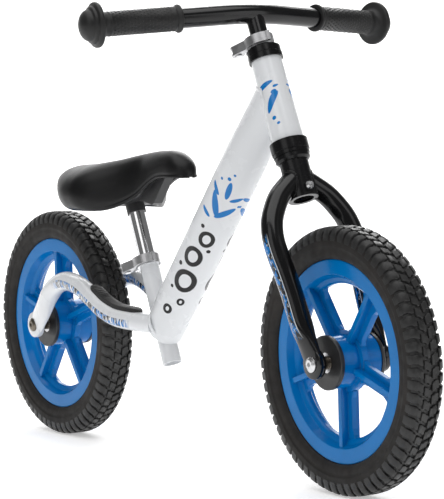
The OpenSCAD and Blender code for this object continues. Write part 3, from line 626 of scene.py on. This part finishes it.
def follow(points, steps):
    """Smooth curve through a list of tuples, with steps between neighbours."""
    out = []
    n = len(points)
    for i in range(n - 1):
        a, b = points[max(i - 1, 0)], points[i]
        c, d = points[i + 1], points[min(i + 2, n - 1)]
        for k in range(steps):
            t = k / steps
            out.append(tuple(
                0.5 * (2 * q + (r - p) * t + (2 * p - 5 * q + 4 * r - s) * t * t
                       + (3 * q - p - 3 * r + s) * t ** 3)
                for p, q, r, s in zip(a, b, c, d)))
    out.append(tuple(points[-1]))
    return out


class Skin:
    """Collects points and faces of a piece that is made of several closed forms."""

    def __init__(self):
        self.verts, self.faces, self.uvs = [], [], []

    def add(self, verts, faces, uvs=None):
        start = len(self.verts)
        self.verts += [tuple(v) for v in verts]
        self.faces += [tuple(i + start for i in face) for face in faces]
        self.uvs += uvs or [(0.0, 1.0)] * len(verts)

    def rings(self, rings, closed_loop=False, uvs=None):
        """Joins equal rings of points; the ends are closed, or meet in a loop."""
        n, m = len(rings), len(rings[0])
        faces = []
        for i in range(n if closed_loop else n - 1):
            for k in range(m):
                a, b = i * m + k, i * m + (k + 1) % m
                c, d = (i + 1) % n * m + (k + 1) % m, (i + 1) % n * m + k
                faces.append((a, d, c, b))
        if not closed_loop:
            faces.append(tuple(range(m)))
            faces.append(tuple((n - 1) * m + k for k in reversed(range(m))))
        self.add([p for ring in rings for p in ring], faces, uvs)

    def tube(self, path, sides):
        """Sweeps an ellipse along path points that carry half widths across and deep."""
        places = [Vector(p[:3]) for p in path]
        last = len(path) - 1
        rings, uvs = [], []
        along = 0.0
        for i, p in enumerate(path):
            ahead = (places[min(i + 1, last)] - places[max(i - 1, 0)]).normalized()
            across, deep = sideways(ahead)
            if i:
                along += (places[i] - places[i - 1]).length
            rings.append(ellipse(places[i], p[3] * across, p[4] * deep, sides))
            uvs += [(along * MM, math.asin(math.sin(a)) * 0.5 * (p[3] + p[4]) * MM)
                    for a in turned(sides)]
        self.rings(rings, uvs=uvs)

    def lathe(self, profile, origin, axis, segments, closed=False):
        """Turns (radius, height) points about an axis."""
        axis = Vector(axis).normalized()
        one = axis.orthogonal().normalized()
        two = axis.cross(one)
        rings = [ellipse(origin + h * axis, r * one, r * two, segments)[::-1]
                 for r, h in profile]
        self.rings(rings, closed_loop=closed)

    def piece(self, name, finishes, body, **details):
        return piece(name, self.verts, self.faces, finishes, body, uvs=self.uvs, **details)


def on_side(points, flip):
    return [(p[0], flip * p[1], *p[2:]) for p in points]


# ---- Routes of the swept tubes ----

def stay_route(steps):
    """The left stay from dropout to seat tube."""
    a = REAR_AXLE
    s = SEAT_POS + STAY_RISE * SEAT_UP
    r, y = STAY_R, STAY_SPREAD
    return follow([
        (a.x, DROPOUT_Y, a.z, 4.0, 15.5),
        (a.x + 26, y - 1, a.z + 21, 7.5, 15),
        (a.x + 45, y, a.z + 40, r, r),
        (a.x + 65, y + 0.5, a.z + 53.5, r, r),
        (a.x + 93, y + 0.5, a.z + 60.5, r, r),
        (a.x + 124, y, a.z + 55.5, r, r),
        (a.x + 154, y - 1, a.z + 42, r, r),
        (a.x + 172, y - 4, a.z + 31, r, r),
        (s.x - 45, y - 9, s.z + 7, r, r),
        (s.x - 22, y - 18, s.z + 3, r, r),
        (s.x + 6, 17, s.z, r * 0.9, r * 0.95)], steps)


def leg_route(steps):
    """The left fork leg from crown to dropout."""
    r, w, foot, c = LEG_R, LEG_SPREAD, LEG_FOOT, CROWN_HEIGHT
    route = follow([
        (0, 4, c + 25, r, r), (0, 17, c + 15.5, r, r), (0, 30.5, c + 4.5, r, r),
        (0, w - 12, c - 8, r, r), (0, w - 4, c - 23, r, r), (0, w, c - 41, r, r),
        (0, w - 0.3, c - 61, r, r), (0.5, w - 2.5, c - 81, r, r),
        (0.2, (w + foot) / 2 - 2, c - 108, r, r), (0.35, foot - 0.5, 42, r, r),
        (0.45, foot - 2, 22, 7.5, 14), (0.5, DROPOUT_Y, 0, 4.0, 15.5)], steps)
    out = []
    for fore, side, up, across, deep in route:
        p = STEER_POS + fore * STEER_FORE + up * STEER_UP
        out.append((p.x, side, p.z, across, deep))
    return out


def ended_tube(route, axle, flip):
    """Tube with a round, flattened end, softened at its rim, on the axle's line."""
    skin = Skin()
    skin.tube(route, 48)
    low, high = DROPOUT_Y - DROPOUT_T / 2, DROPOUT_Y + DROPOUT_T / 2
    # Distances in from the rim and in from the face
    soft = ((DROPOUT_R - 0.01, 0.0), (1.2, 0.0), (0.3, 0.4), (0.0, 1.3))
    profile = [(DROPOUT_R - rim, low + face) for rim, face in soft]
    profile += [(DROPOUT_R - rim, high - face) for rim, face in reversed(soft)]
    skin.lathe(profile, axle, (0, flip, 0), 56)
    return skin


def weld_bead(name, start, ahead, halves, post, body, width, material):
    """Bead round the line where a tube meets a post, given as a point, axis and radius."""
    axis_at, axis, radius = post
    steps, ripples, ripple, flatness = 120, 30, 0.10, 0.6

    def off_axis(p):
        return p - axis_at - (p - axis_at).dot(axis) * axis

    across, deep = sideways(ahead)
    run = ahead - ahead.dot(axis) * axis
    loop = []
    for p in ellipse(start, halves[0] * across, halves[1] * deep, steps):
        # Where the tube's wall first meets the post's
        flat = off_axis(p)
        aa, bb = run.dot(run), 2 * flat.dot(run)
        root = bb * bb - 4 * aa * (flat.dot(flat) - radius * radius)
        loop.append(p + (-bb - math.sqrt(max(0.0, root))) / (2 * aa) * ahead)
    rings = []
    for k, turn in enumerate(turned(steps)):
        tangent = (loop[(k + 1) % steps] - loop[k - 1]).normalized()
        side = tangent.cross(off_axis(loop[k]).normalized()).normalized()
        r = width / 2 * (1 + ripple * math.sin(ripples * turn))
        rings.append(ellipse(loop[k], r * side, flatness * r * side.cross(tangent), 10))
    skin = Skin()
    skin.rings(rings, closed_loop=True)
    return skin.piece(name, [material], body, record_slot="white_paint", sharp=80)


# ---- Operators ----

class BIKE_OT_stage(bpy.types.Operator):
    """Lay the pale floor, set the soft lights and place the camera"""
    bl_idname = "bike.stage"
    bl_label = "Stage"

    def execute(self, context):
        scene = context.scene
        forward = Vector((CAMERA_AHEAD.x, CAMERA_AHEAD.y, 0)).normalized()
        aside = Vector((forward.y, -forward.x, 0))
        near, far, bend, top, half = -8000, 5500, 2500, 9000, 8000
        rise = [(far + bend * math.sin(t), bend * (1 - math.cos(t)))
                for t in (i * math.pi / 32 for i in range(1, 17))]
        verts = [forward * run + aside * s + Vector((0, 0, up))
                 for run, up in [(near, 0), (far, 0), *rise, (far + bend, top)]
                 for s in (-half, half)]
        faces = [(i, i + 1, i + 3, i + 2) for i in range(0, len(verts) - 2, 2)]
        floor = piece("studio_floor", verts, faces, [floor_paper()], sharp=180)

        # Name, place, where it points, size in metres and power in watts
        for name, place, aim, size, power in (
                ("overhead", (0.3, -0.4, 2.3), (0.0, 0.0, 0.2), (3.0, 2.4), 40),
                ("key", (1.0, -2.3, 1.5), (0.0, 0.0, 0.25), (1.3, 1.6), 7),
                ("fill", (2.4, 1.1, 1.0), (0.1, 0.0, 0.25), (1.2, 1.6), 7),
                ("rim", (-1.4, 1.5, 1.5), (0.0, 0.0, 0.3), (1.6, 1.2), 18),
                ("backdrop", forward * 3.4 + Vector((0, 0, 4.6)),
                 forward * 7.0 + Vector((0, 0, 0.6)), (7.0, 2.0), 330)):
            light = bpy.data.lights.new(name, "AREA")
            light.shape = "RECTANGLE"
            light.size, light.size_y = size
            light.energy = power
            obj = bpy.data.objects.new(name, light)
            scene.collection.objects.link(obj)
            obj.location = place
            line = Vector(aim) - Vector(place)
            obj.rotation_euler = line.to_track_quat("-Z", "Y").to_euler()
        world = bpy.data.worlds.new("studio")
        scene.world = world
        world.use_nodes = True
        background = world.node_tree.nodes["Background"]
        background.inputs["Color"].default_value = (1.0, 1.0, 1.0, 1.0)
        background.inputs["Strength"].default_value = 0.16
        scene.view_settings.view_transform = "Standard"
        scene.view_settings.look = "None"

        camera = bpy.data.cameras.new("camera")
        camera.sensor_width = CAMERA_SENSOR
        camera.lens = CAMERA_LENS
        camera.clip_end = 60
        obj = bpy.data.objects.new("camera", camera)
        scene.collection.objects.link(obj)
        turn = Matrix((CAMERA_RIGHT, CAMERA_UP, -CAMERA_AHEAD)).transposed()
        obj.matrix_world = Matrix.Translation(CAMERA_POS * MM) @ turn.to_4x4()
        scene.camera = obj
        return {"FINISHED"}


class BIKE_OT_frame_tubes(bpy.types.Operator):
    """Make the smooth white frame tubes with their welds and printed pattern"""
    bl_idname = "bike.frame_tubes"
    bl_label = "Frame tubes"

    def execute(self, context):
        width = sizes().weld_width / MM
        span = MAIN_HIGH - MAIN_LOW
        along = span.normalized()
        steps = 44

        def section(share, behind=0, thinner=0):
            """Place and half widths; the tube narrows to fit the posts at both ends."""
            head = smoothstep((share - 0.72) / 0.28)
            seat = smoothstep((0.16 - share) / 0.24)
            across = MAIN_R + head * (MAIN_HEAD_HALF - MAIN_R) + seat * (MAIN_SEAT_HALF - MAIN_R)
            place = MAIN_LOW + share * span - behind * along
            return (*place, across - thinner, MAIN_R + head * 2 - thinner)

        # The lower end is rounded behind the seat tube
        path = [section(0, behind=5, thinner=6), section(0, behind=3, thinner=2)]
        path += [section(i / steps) for i in range(steps + 1)]
        skin = Skin()
        skin.tube(path, 72)
        skin.piece("main_tube_painted", [printed_main_coat()], "frame",
                   instead_of=["main_tube"], record_slot="white_paint", sharp=60)
        for side, flip in SIDES:
            route = on_side(stay_route(12), flip)
            skin = ended_tube(route, REAR_AXLE, flip)
            skin.piece(side + "_stay_painted", [printed_stay_coat()], "frame",
                       instead_of=[side + "_stay"], record_slot="white_paint", sharp=50)
            last = Vector(route[-9][:3])
            ahead = (Vector(route[-1][:3]) - last).normalized()
            weld_bead(side + "_stay_weld", last - 25 * ahead, ahead, (10.8, 11.3),
                      (SEAT_POS, SEAT_UP, SEAT_TUBE_R), "frame", width, weld_coat())
        weld_bead("head_weld", MAIN_HIGH - 80 * along, along, (18.3, 27.0),
                  (STEER_POS, STEER_UP, HEAD_TUBE_R), "frame", width, weld_coat())
        dress(["head_tube"], printed_head_coat())
        dress(["seat_tube"], white_coat())
        return {"FINISHED"}


class BIKE_OT_footrests(bpy.types.Operator):
    """Lay the ribbed rubber footrests over the stays"""
    bl_idname = "bike.footrests"
    bl_label = "Footrests"

    def execute(self, context):
        steps = 36
        pitch = sizes().pad_rib_pitch / MM
        route = [Vector(p[:3]) for p in stay_route(steps)]
        first, last = 17 * steps // 3, 28 * steps // 3
        r, thickness, rib_height = STAY_R, 3.6, 0.35
        rings = []
        run = 0.0
        for i in range(first, last + 1):
            level, up = sideways((route[i + 1] - route[i - 1]).normalized())
            run += (route[i] - route[i - 1]).length
            to_end = min(i - first, last - i)
            crest = min(1.0, 0.35 + 0.65 * math.sqrt(min(1.0, to_end / 6)))
            rib = rib_height * smoothstep((math.cos(2 * math.pi * run / pitch) + 0.35) / 0.5)
            top = r + (thickness + rib) * crest
            # Both ends are rounded in plan
            spread = arch(1 - (to_end + 0.5) / 14)
            under = (math.radians(102.5 + spread * (37.5 - 7.5 * k)) for k in range(11))
            section = [((r + 0.1) * math.cos(a), (r + 0.1) * math.sin(a)) for a in under]
            section += [(-2.0 + spread * x, y) for x, y in (
                (7.2, r + 0.4), (7.0, top - 1.0), (6.2, top - 0.25), (4.5, top),
                (-r + 6.5, top), (-r + 4.4, top - 0.25), (-r + 3.2, top - 1.2),
                (-r + 2.8, r - 3.0))]
            rings.append([route[i] + x * level + y * up for x, y in section])
        for side, flip in SIDES:
            skin = Skin()
            skin.rings([on_side(ring[::-flip], flip) for ring in rings])
            skin.piece(side + "_footrest", [soft_rubber("pad_rubber", 0.010, 0.46, 0.62)],
                       "frame", instead_of=[side + "_footrest_pad"],
                       record_slot="pad_rubber", sharp=35)
        return {"FINISHED"}


class BIKE_OT_fork(bpy.types.Operator):
    """Make the smooth black fork legs and finish the crown, headset and steerer"""
    bl_idname = "bike.fork"
    bl_label = "Fork and headset"

    def execute(self, context):
        for side, flip in SIDES:
            route = on_side(leg_route(12), flip)
            skin = ended_tube(route, FRONT_AXLE, flip)
            skin.piece(side + "_leg_painted", [printed_black()], "fork",
                       instead_of=[side + "_fork_leg"], record_slot="black_paint", sharp=50)
            start = Vector(route[12][:3])
            ahead = (Vector(route[9][:3]) - start).normalized()
            bead = weld_bead(side + "_leg_weld", start - 12 * ahead, ahead,
                             (LEG_R + 0.1, LEG_R + 0.1), (STEER_POS, STEER_UP, CROWN_R),
                             "fork", 3.6, edged_black())
        dress(["fork_crown", "crown_race", "lower_headset_cup", "upper_headset_cup",
               "headset_top_nut", "steerer"], edged_black())
        dress(["crown_bolt", "crown_nut", "headset_bearings"], zinc_steel())
        return {"FINISHED"}


class BIKE_OT_tyres(bpy.types.Operator):
    """Make the foam tyres with their interlocking tread blocks"""
    bl_idname = "bike.tyres"
    bl_label = "Tyres"

    # Blocks beside the middle of the tread and over its shoulder: distance from the middle,
    # shift along the tread and half width in shares of a pitch, and share of the full height
    BLOCKS = (((0.5, -0.10, 0.26, 0.7), (1.0, -0.10, 0.33, 1.0), (3.4, -0.09, 0.35, 1.0),
               (4.8, 0.05, 0.35, 1.0), (7.6, 0.09, 0.34, 1.0), (8.6, 0.09, 0.32, 1.0),
               (9.1, 0.09, 0.26, 0.7)),
              ((10.0, 0.36, 0.24, 0.7), (10.5, 0.36, 0.31, 1.0), (13.0, 0.38, 0.33, 1.0),
               (14.6, 0.52, 0.34, 1.0), (17.0, 0.54, 0.35, 1.0), (19.0, 0.54, 0.35, 0.9),
               (19.75, 0.54, 0.33, 0.7), (19.9, 0.54, 0.29, 0.35)))

    @staticmethod
    def crown(y):
        """Radius of the tyre's outer face at a distance from its middle plane."""
        if y <= SHOULDER_Y:
            return WHEEL_R
        if y < TYRE_HALF - 0.35:
            rise = math.sqrt(max(0.0, SHOULDER_R ** 2 - (y - SHOULDER_Y) ** 2))
            return WHEEL_R - SHOULDER_R + rise
        return WHEEL_R - SHOULDER_R + 2.9

    def execute(self, context):
        count = sizes().tread_pitches
        depth = sizes().tread_depth / MM
        half = [(99.05, 11.2), (107.6, 11.35), (108.1, 12.4), (108.1, 14.0), (109.0, 15.6),
                (111.0, 17.3), (114.0, 18.3), (118.0, 18.9), (121.0, 19.1), (121.6, 19.6),
                (122.6, 19.75), (127.0, 19.7), (130.0, 19.2), (132.0, 18.4)]
        # The ground between the blocks
        below = 12.4 - depth
        for t in (math.radians(a) for a in range(60, -1, -8)):
            half.append((130.0 + below * math.cos(t), 7.6 + below * math.sin(t)))
        half.append((130.0 + below, 3.0))
        profile = half + [(r, -y) for r, y in reversed(half)]
        for which, centre in (("front", FRONT_AXLE), ("rear", REAR_AXLE)):
            skin = Skin()
            skin.lathe(profile, centre, (0, 1, 0), 192, closed=True)
            walls = len(skin.faces)
            for i in range(count):
                for hand in (1, -1):
                    for rows in self.BLOCKS:
                        self.block(skin, centre, i, hand, rows, 2 * math.pi / count, depth)

            def by_place(polygon):
                c = polygon.center / MM - centre
                return 1 if polygon.index < walls and math.hypot(c.x, c.z) < 132 else 0
            skin.piece(which + "_foam_tyre", [tread_foam(), wall_foam()],
                       which + "_wheel", instead_of=[which + "_tyre"],
                       record_slot="foam_tyre", face_finish=by_place, sharp=38)
        return {"FINISHED"}

    def block(self, skin, centre, index, hand, rows, pitch, depth):
        """One dog-legged block; those of the right half stand half a pitch further on."""
        rings = []
        wobble = 1 + 0.04 * math.sin(index * 2.4)
        for y, shift, wide, tall in rows:
            low = self.crown(y) - depth - 0.6
            top = self.crown(y) - depth * (1 - tall) - 0.05
            if y > 18.5:
                low, top = low - 1.5, top - (y - 18.5) * 3.0
            middle = (index + (0.5 if hand < 0 else 0) + shift) * pitch
            w = wide * pitch * wobble
            ring = []
            for r, a in ((low, -w * 1.10), (top - 0.55, -w), (top, -w * 0.84),
                         (top, w * 0.84), (top - 0.55, w), (low, w * 1.10)):
                t = middle + a
                ring.append(centre + Vector((r * math.cos(t), hand * y, r * math.sin(t))))
            rings.append(ring[::hand])
        skin.rings(rings)


class BIKE_OT_wheels(bpy.types.Operator):
    """Finish the moulded wheels, hub caps, bearings, axles and bolts"""
    bl_idname = "bike.wheels"
    bl_label = "Wheels"

    def execute(self, context):
        dress(["front_rim", "rear_rim"], moulded_blue())
        dress(["front_hub_caps", "rear_hub_caps"], cap_plastic())
        dress(["front_bearings", "rear_bearings", "front_axle", "rear_axle",
               "front_axle_bolts"], zinc_steel())
        dress(["rear_axle_bolts", "front_axle_spacers", "rear_axle_spacers"], dark_steel())
        return {"FINISHED"}


class BIKE_OT_saddle(bpy.types.Operator):
    """Make the crowned saddle with its rolled lower edge, and finish its base and post"""
    bl_idname = "bike.saddle"
    bl_label = "Saddle"

    LEN, HALF, NOSE, HIGH, DROP, AHEAD = 252.0, 66.5, 18.0, 32.0, 40.0, 53.0
    FOOT = SEAT_POS.z + 220.5

    # Each takes the share of the length from nose to tail

    def half(self, u):
        wide = self.NOSE + (self.HALF - self.NOSE) * smoothstep((u - 0.34) / 0.34)
        return wide * arch((0.11 - u) / 0.112) * arch((u - 0.72) / 0.2805)

    def low(self, u):
        return (self.FOOT - self.DROP * smoothstep((u - 0.15) / 0.42)
                + 30 * clamped((u - 0.72) / 0.28) ** 2)

    def top(self, u):
        low = self.low(u)
        high = self.FOOT + self.HIGH - 0.4 * self.DROP * smoothstep((u - 0.15) / 0.7)
        return low + (high - low) * arch((0.15 - u) / 0.152) * arch((u - 0.86) / 0.142)

    def execute(self, context):
        swell = sizes().crown_fullness
        along, around = 64, 40
        rings = []
        for i in range(1, along):
            u = 0.5 - 0.5 * math.cos(math.pi * i / along)
            x = SEAT_POS.x + self.AHEAD - u * self.LEN
            w, low, top = self.half(u), self.low(u), self.top(u)
            tall = top - low
            # The rear rolls under; the nose keeps a lip over its base
            roll = smoothstep((u - 0.42) / 0.28)
            mid = low + (1 - roll) * min(8.0, tall * 0.4) + roll * min(19.0, tall * 0.5)
            lip = min(1.0, tall / 14.0, w / 10.0)
            inner = max(0.92 * w - 5, 0.4 * w) * (1 - 0.16 * roll)
            lipped = [(0.93 * w + out * lip, low + up * lip) for out, up in (
                (0, 0), (1.5, 1.0), (1.8, 2.4), (1.0, 3.5), (0.9, 3.9))]
            lipped.append((min(w, 0.94 * w + 1.8 * lip), low + 4.8 * lip))
            rolled = [(w * (0.76 + 0.24 * math.sin(t)), low + (mid - low) * (1 - math.cos(t)))
                      for t in (math.pi / 2 * (0.12 + 0.147 * k) for k in range(6))]
            left = [(inner, low + min(9.0, tall * 0.45)), (inner, low + 1.0 * lip),
                    (inner + 1.2 * lip, low + 0.1)]
            left += [(a[0] + roll * (b[0] - a[0]), a[1] + roll * (b[1] - a[1]))
                     for a, b in zip(lipped, rolled)]
            # A shallow sitting hollow along the middle of the wide part
            hollow = 1.6 * smoothstep((u - 0.45) / 0.2) * smoothstep((1 - u) / 0.2)
            body = []
            for k in range(around + 1):
                c, s = math.cos(math.pi * k / around), math.sin(math.pi * k / around)
                y = w * math.copysign(abs(c) ** swell, c)
                z = mid + (top - mid) * max(0.0, s) ** 0.85
                z -= hollow * math.exp(-(y / 18.0) ** 2)
                z += 0.35 * noise.noise(Vector((x * 0.03, y * 0.03, 2.0))) * max(0.0, s)
                body.append((y, z))
            right = [(-y, z) for y, z in reversed(left)]
            rings.append([Vector((x, y, z)) for y, z in left + body + right])
        skin = Skin()
        skin.rings([ring[::-1] for ring in reversed(rings)])
        cover = skin.piece("saddle_padding", [saddle_leather()], "seat",
                           instead_of=["saddle_cover"], record_slot="saddle_skin", sharp=70)
        dress(["saddle_base"], base_plastic())
        dress(["seat_post"], chrome())
        return {"FINISHED"}


class BIKE_OT_handlebar(bpy.types.Operator):
    """Make the smooth black bar and finish its post"""
    bl_idname = "bike.handlebar"
    bl_label = "Handlebar"

    def execute(self, context):
        path = [(-BAR_BEND - 1e-6, BAR_END)]
        path += [(BAR_BEND * i / 20, 0.0) for i in range(-20, 21)]
        path += [(BAR_BEND + 1e-6, BAR_END)]
        line = []
        for a, run in path:
            back = BAR_BEND_R * (1 - math.cos(a)) + run * math.sin(BAR_BEND)
            out = BAR_BEND_R * math.sin(a) + math.copysign(run, a) * math.cos(BAR_BEND)
            line.append(bar_point(out, back))
        rings = []
        for i, p in enumerate(line):
            ahead = (line[min(i + 1, len(line) - 1)] - line[max(i - 1, 0)]).normalized()
            one = (STEER_UP - STEER_UP.dot(ahead) * ahead).normalized()
            rings.append(ellipse(p, BAR_R * one, BAR_R * ahead.cross(one), 56)[::-1])
        skin = Skin()
        skin.rings(rings)
        skin.piece("bar_painted", [gloss_black()], "bar", instead_of=["handlebar"],
                   record_slot="black_paint", sharp=50)
        dress(["handlebar_post"], gloss_black())
        return {"FINISHED"}


def bar_point(out, back):
    """A point in the tilted bar's plane, so far to the left and so far back."""
    return BAR_POS + out * BAR_LEFT - back * BAR_FORE


class BIKE_OT_grips(bpy.types.Operator):
    """Make the rubber grips with their flanges, rings and raised dots"""
    bl_idname = "bike.grips"
    bl_label = "Grips"

    def execute(self, context):
        dot = sizes().grip_dot / MM / 2
        # Radius and height along the grip, from its start and then from its end
        g, e = GRIP_START, BAR_END - 1
        profile = [(r, g + h) for r, h in (
            (11.15, 0), (14.4, 0), (15.2, 0.4), (15.5, 1.1), (15.5, 2.6), (15.1, 3.3),
            (14.2, 3.9), (13.9, 4.8), (13.2, 5.4), (13.2, 6.4), (13.6, 6.9), (13.6, 8.4),
            (13.2, 8.9))]
        profile += [(r, e + h) for r, h in (
            (13.2, -12.4), (13.6, -12.0), (13.6, -10.4), (13.2, -10.0), (13.3, -6.0),
            (14.0, -3.6), (15.6, -1.9), (18.5, -0.7), (22.6, -0.2), (23.9, 0.3), (24.5, 1.3),
            (24.5, 3.9), (24.0, 5.0), (23.0, 5.6), (21.0, 5.9), (20.5, 6.3), (20.3, 8.3),
            (19.8, 9.2), (18.6, 9.8), (17.5, 10.2), (17.0, 10.8))]
        profile += [(17.0 * math.cos(t), e + 10.8 + 10.6 * math.sin(t))
                    for t in (math.radians(a) for a in range(6, 90, 6))]
        profile.append((0.01, e + 21.4))
        rows, around = 18, 20
        for side, flip in SIDES:
            start = bar_point(flip * BAR_BEND_R * math.sin(BAR_BEND),
                              BAR_BEND_R * (1 - math.cos(BAR_BEND)))
            axis = flip * math.cos(BAR_BEND) * BAR_LEFT - math.sin(BAR_BEND) * BAR_FORE
            axis.normalize()
            skin = Skin()
            skin.lathe(profile, start, axis, 64)
            one = axis.orthogonal().normalized()
            two = axis.cross(one)
            for row in range(rows):
                h = g + 12.5 + row * (e - 27.5 - g) / (rows - 1)
                for k in range(around):
                    t = 2 * math.pi * (k + 0.5 * (row % 2)) / around
                    out = math.cos(t) * one + math.sin(t) * two
                    self.dot(skin, start + h * axis + 13.1 * out, out, axis, dot)
            skin.piece(side + "_rubber_grip", [soft_rubber("grip_rubber", 0.009, 0.38, 0.52)],
                       "bar", instead_of=[side + "_grip"], record_slot="grip_rubber",
                       sharp=45)
        return {"FINISHED"}

    @staticmethod
    def dot(skin, place, out, axis, r):
        """A low round stud, closed underneath."""
        skin.rings([ellipse(place + height * out, share * r * axis,
                            share * r * out.cross(axis), 8)
                    for share, height in ((1.0, -0.4), (1.0, 0.2), (0.75, 0.48), (0.35, 0.6))])


class BIKE_OT_clamps(bpy.types.Operator):
    """Finish the two quick-release clamps"""
    bl_idname = "bike.clamps"
    bl_label = "Clamps"

    def execute(self, context):
        for place in ("seat", "bar"):
            dress([place + "_clamp_collar"], bright_alloy())
            dress([place + "_clamp_skewer", place + "_clamp_nut"], zinc_steel())
            dress([place + "_clamp_lever"], lever_alloy())
        return {"FINISHED"}


class BIKE_PT_panel(bpy.types.Panel):
    """Lists the steps that finish the bike"""
    bl_idname = "BIKE_PT_panel"
    bl_label = "Balance bike"
    bl_space_type = "VIEW_3D"
    bl_region_type = "UI"
    bl_category = "Balance bike"

    def draw(self, context):
        for group in (context.scene.bike_colours, context.scene.bike_sizes):
            for name in group.__annotations__:
                self.layout.prop(group, name)
        for step in STEPS:
            self.layout.operator(step.bl_idname)


STEPS = (BIKE_OT_stage, BIKE_OT_frame_tubes, BIKE_OT_footrests, BIKE_OT_fork, BIKE_OT_tyres,
         BIKE_OT_wheels, BIKE_OT_saddle, BIKE_OT_handlebar, BIKE_OT_grips, BIKE_OT_clamps)
CLASSES = (BalanceBikeColours, BalanceBikeSizes, *STEPS, BIKE_PT_panel)


def register():
    for cls in CLASSES:
        bpy.utils.register_class(cls)
    bpy.types.Scene.bike_colours = bpy.props.PointerProperty(type=BalanceBikeColours)
    bpy.types.Scene.bike_sizes = bpy.props.PointerProperty(type=BalanceBikeSizes)


def unregister():
    del bpy.types.Scene.bike_sizes
    del bpy.types.Scene.bike_colours
    for cls in reversed(CLASSES):
        bpy.utils.unregister_class(cls)


def main():
    register()
    for step in STEPS:
        area, name = step.bl_idname.split(".")
        getattr(getattr(bpy.ops, area), name)()


if __name__ == "__main__":
    main()
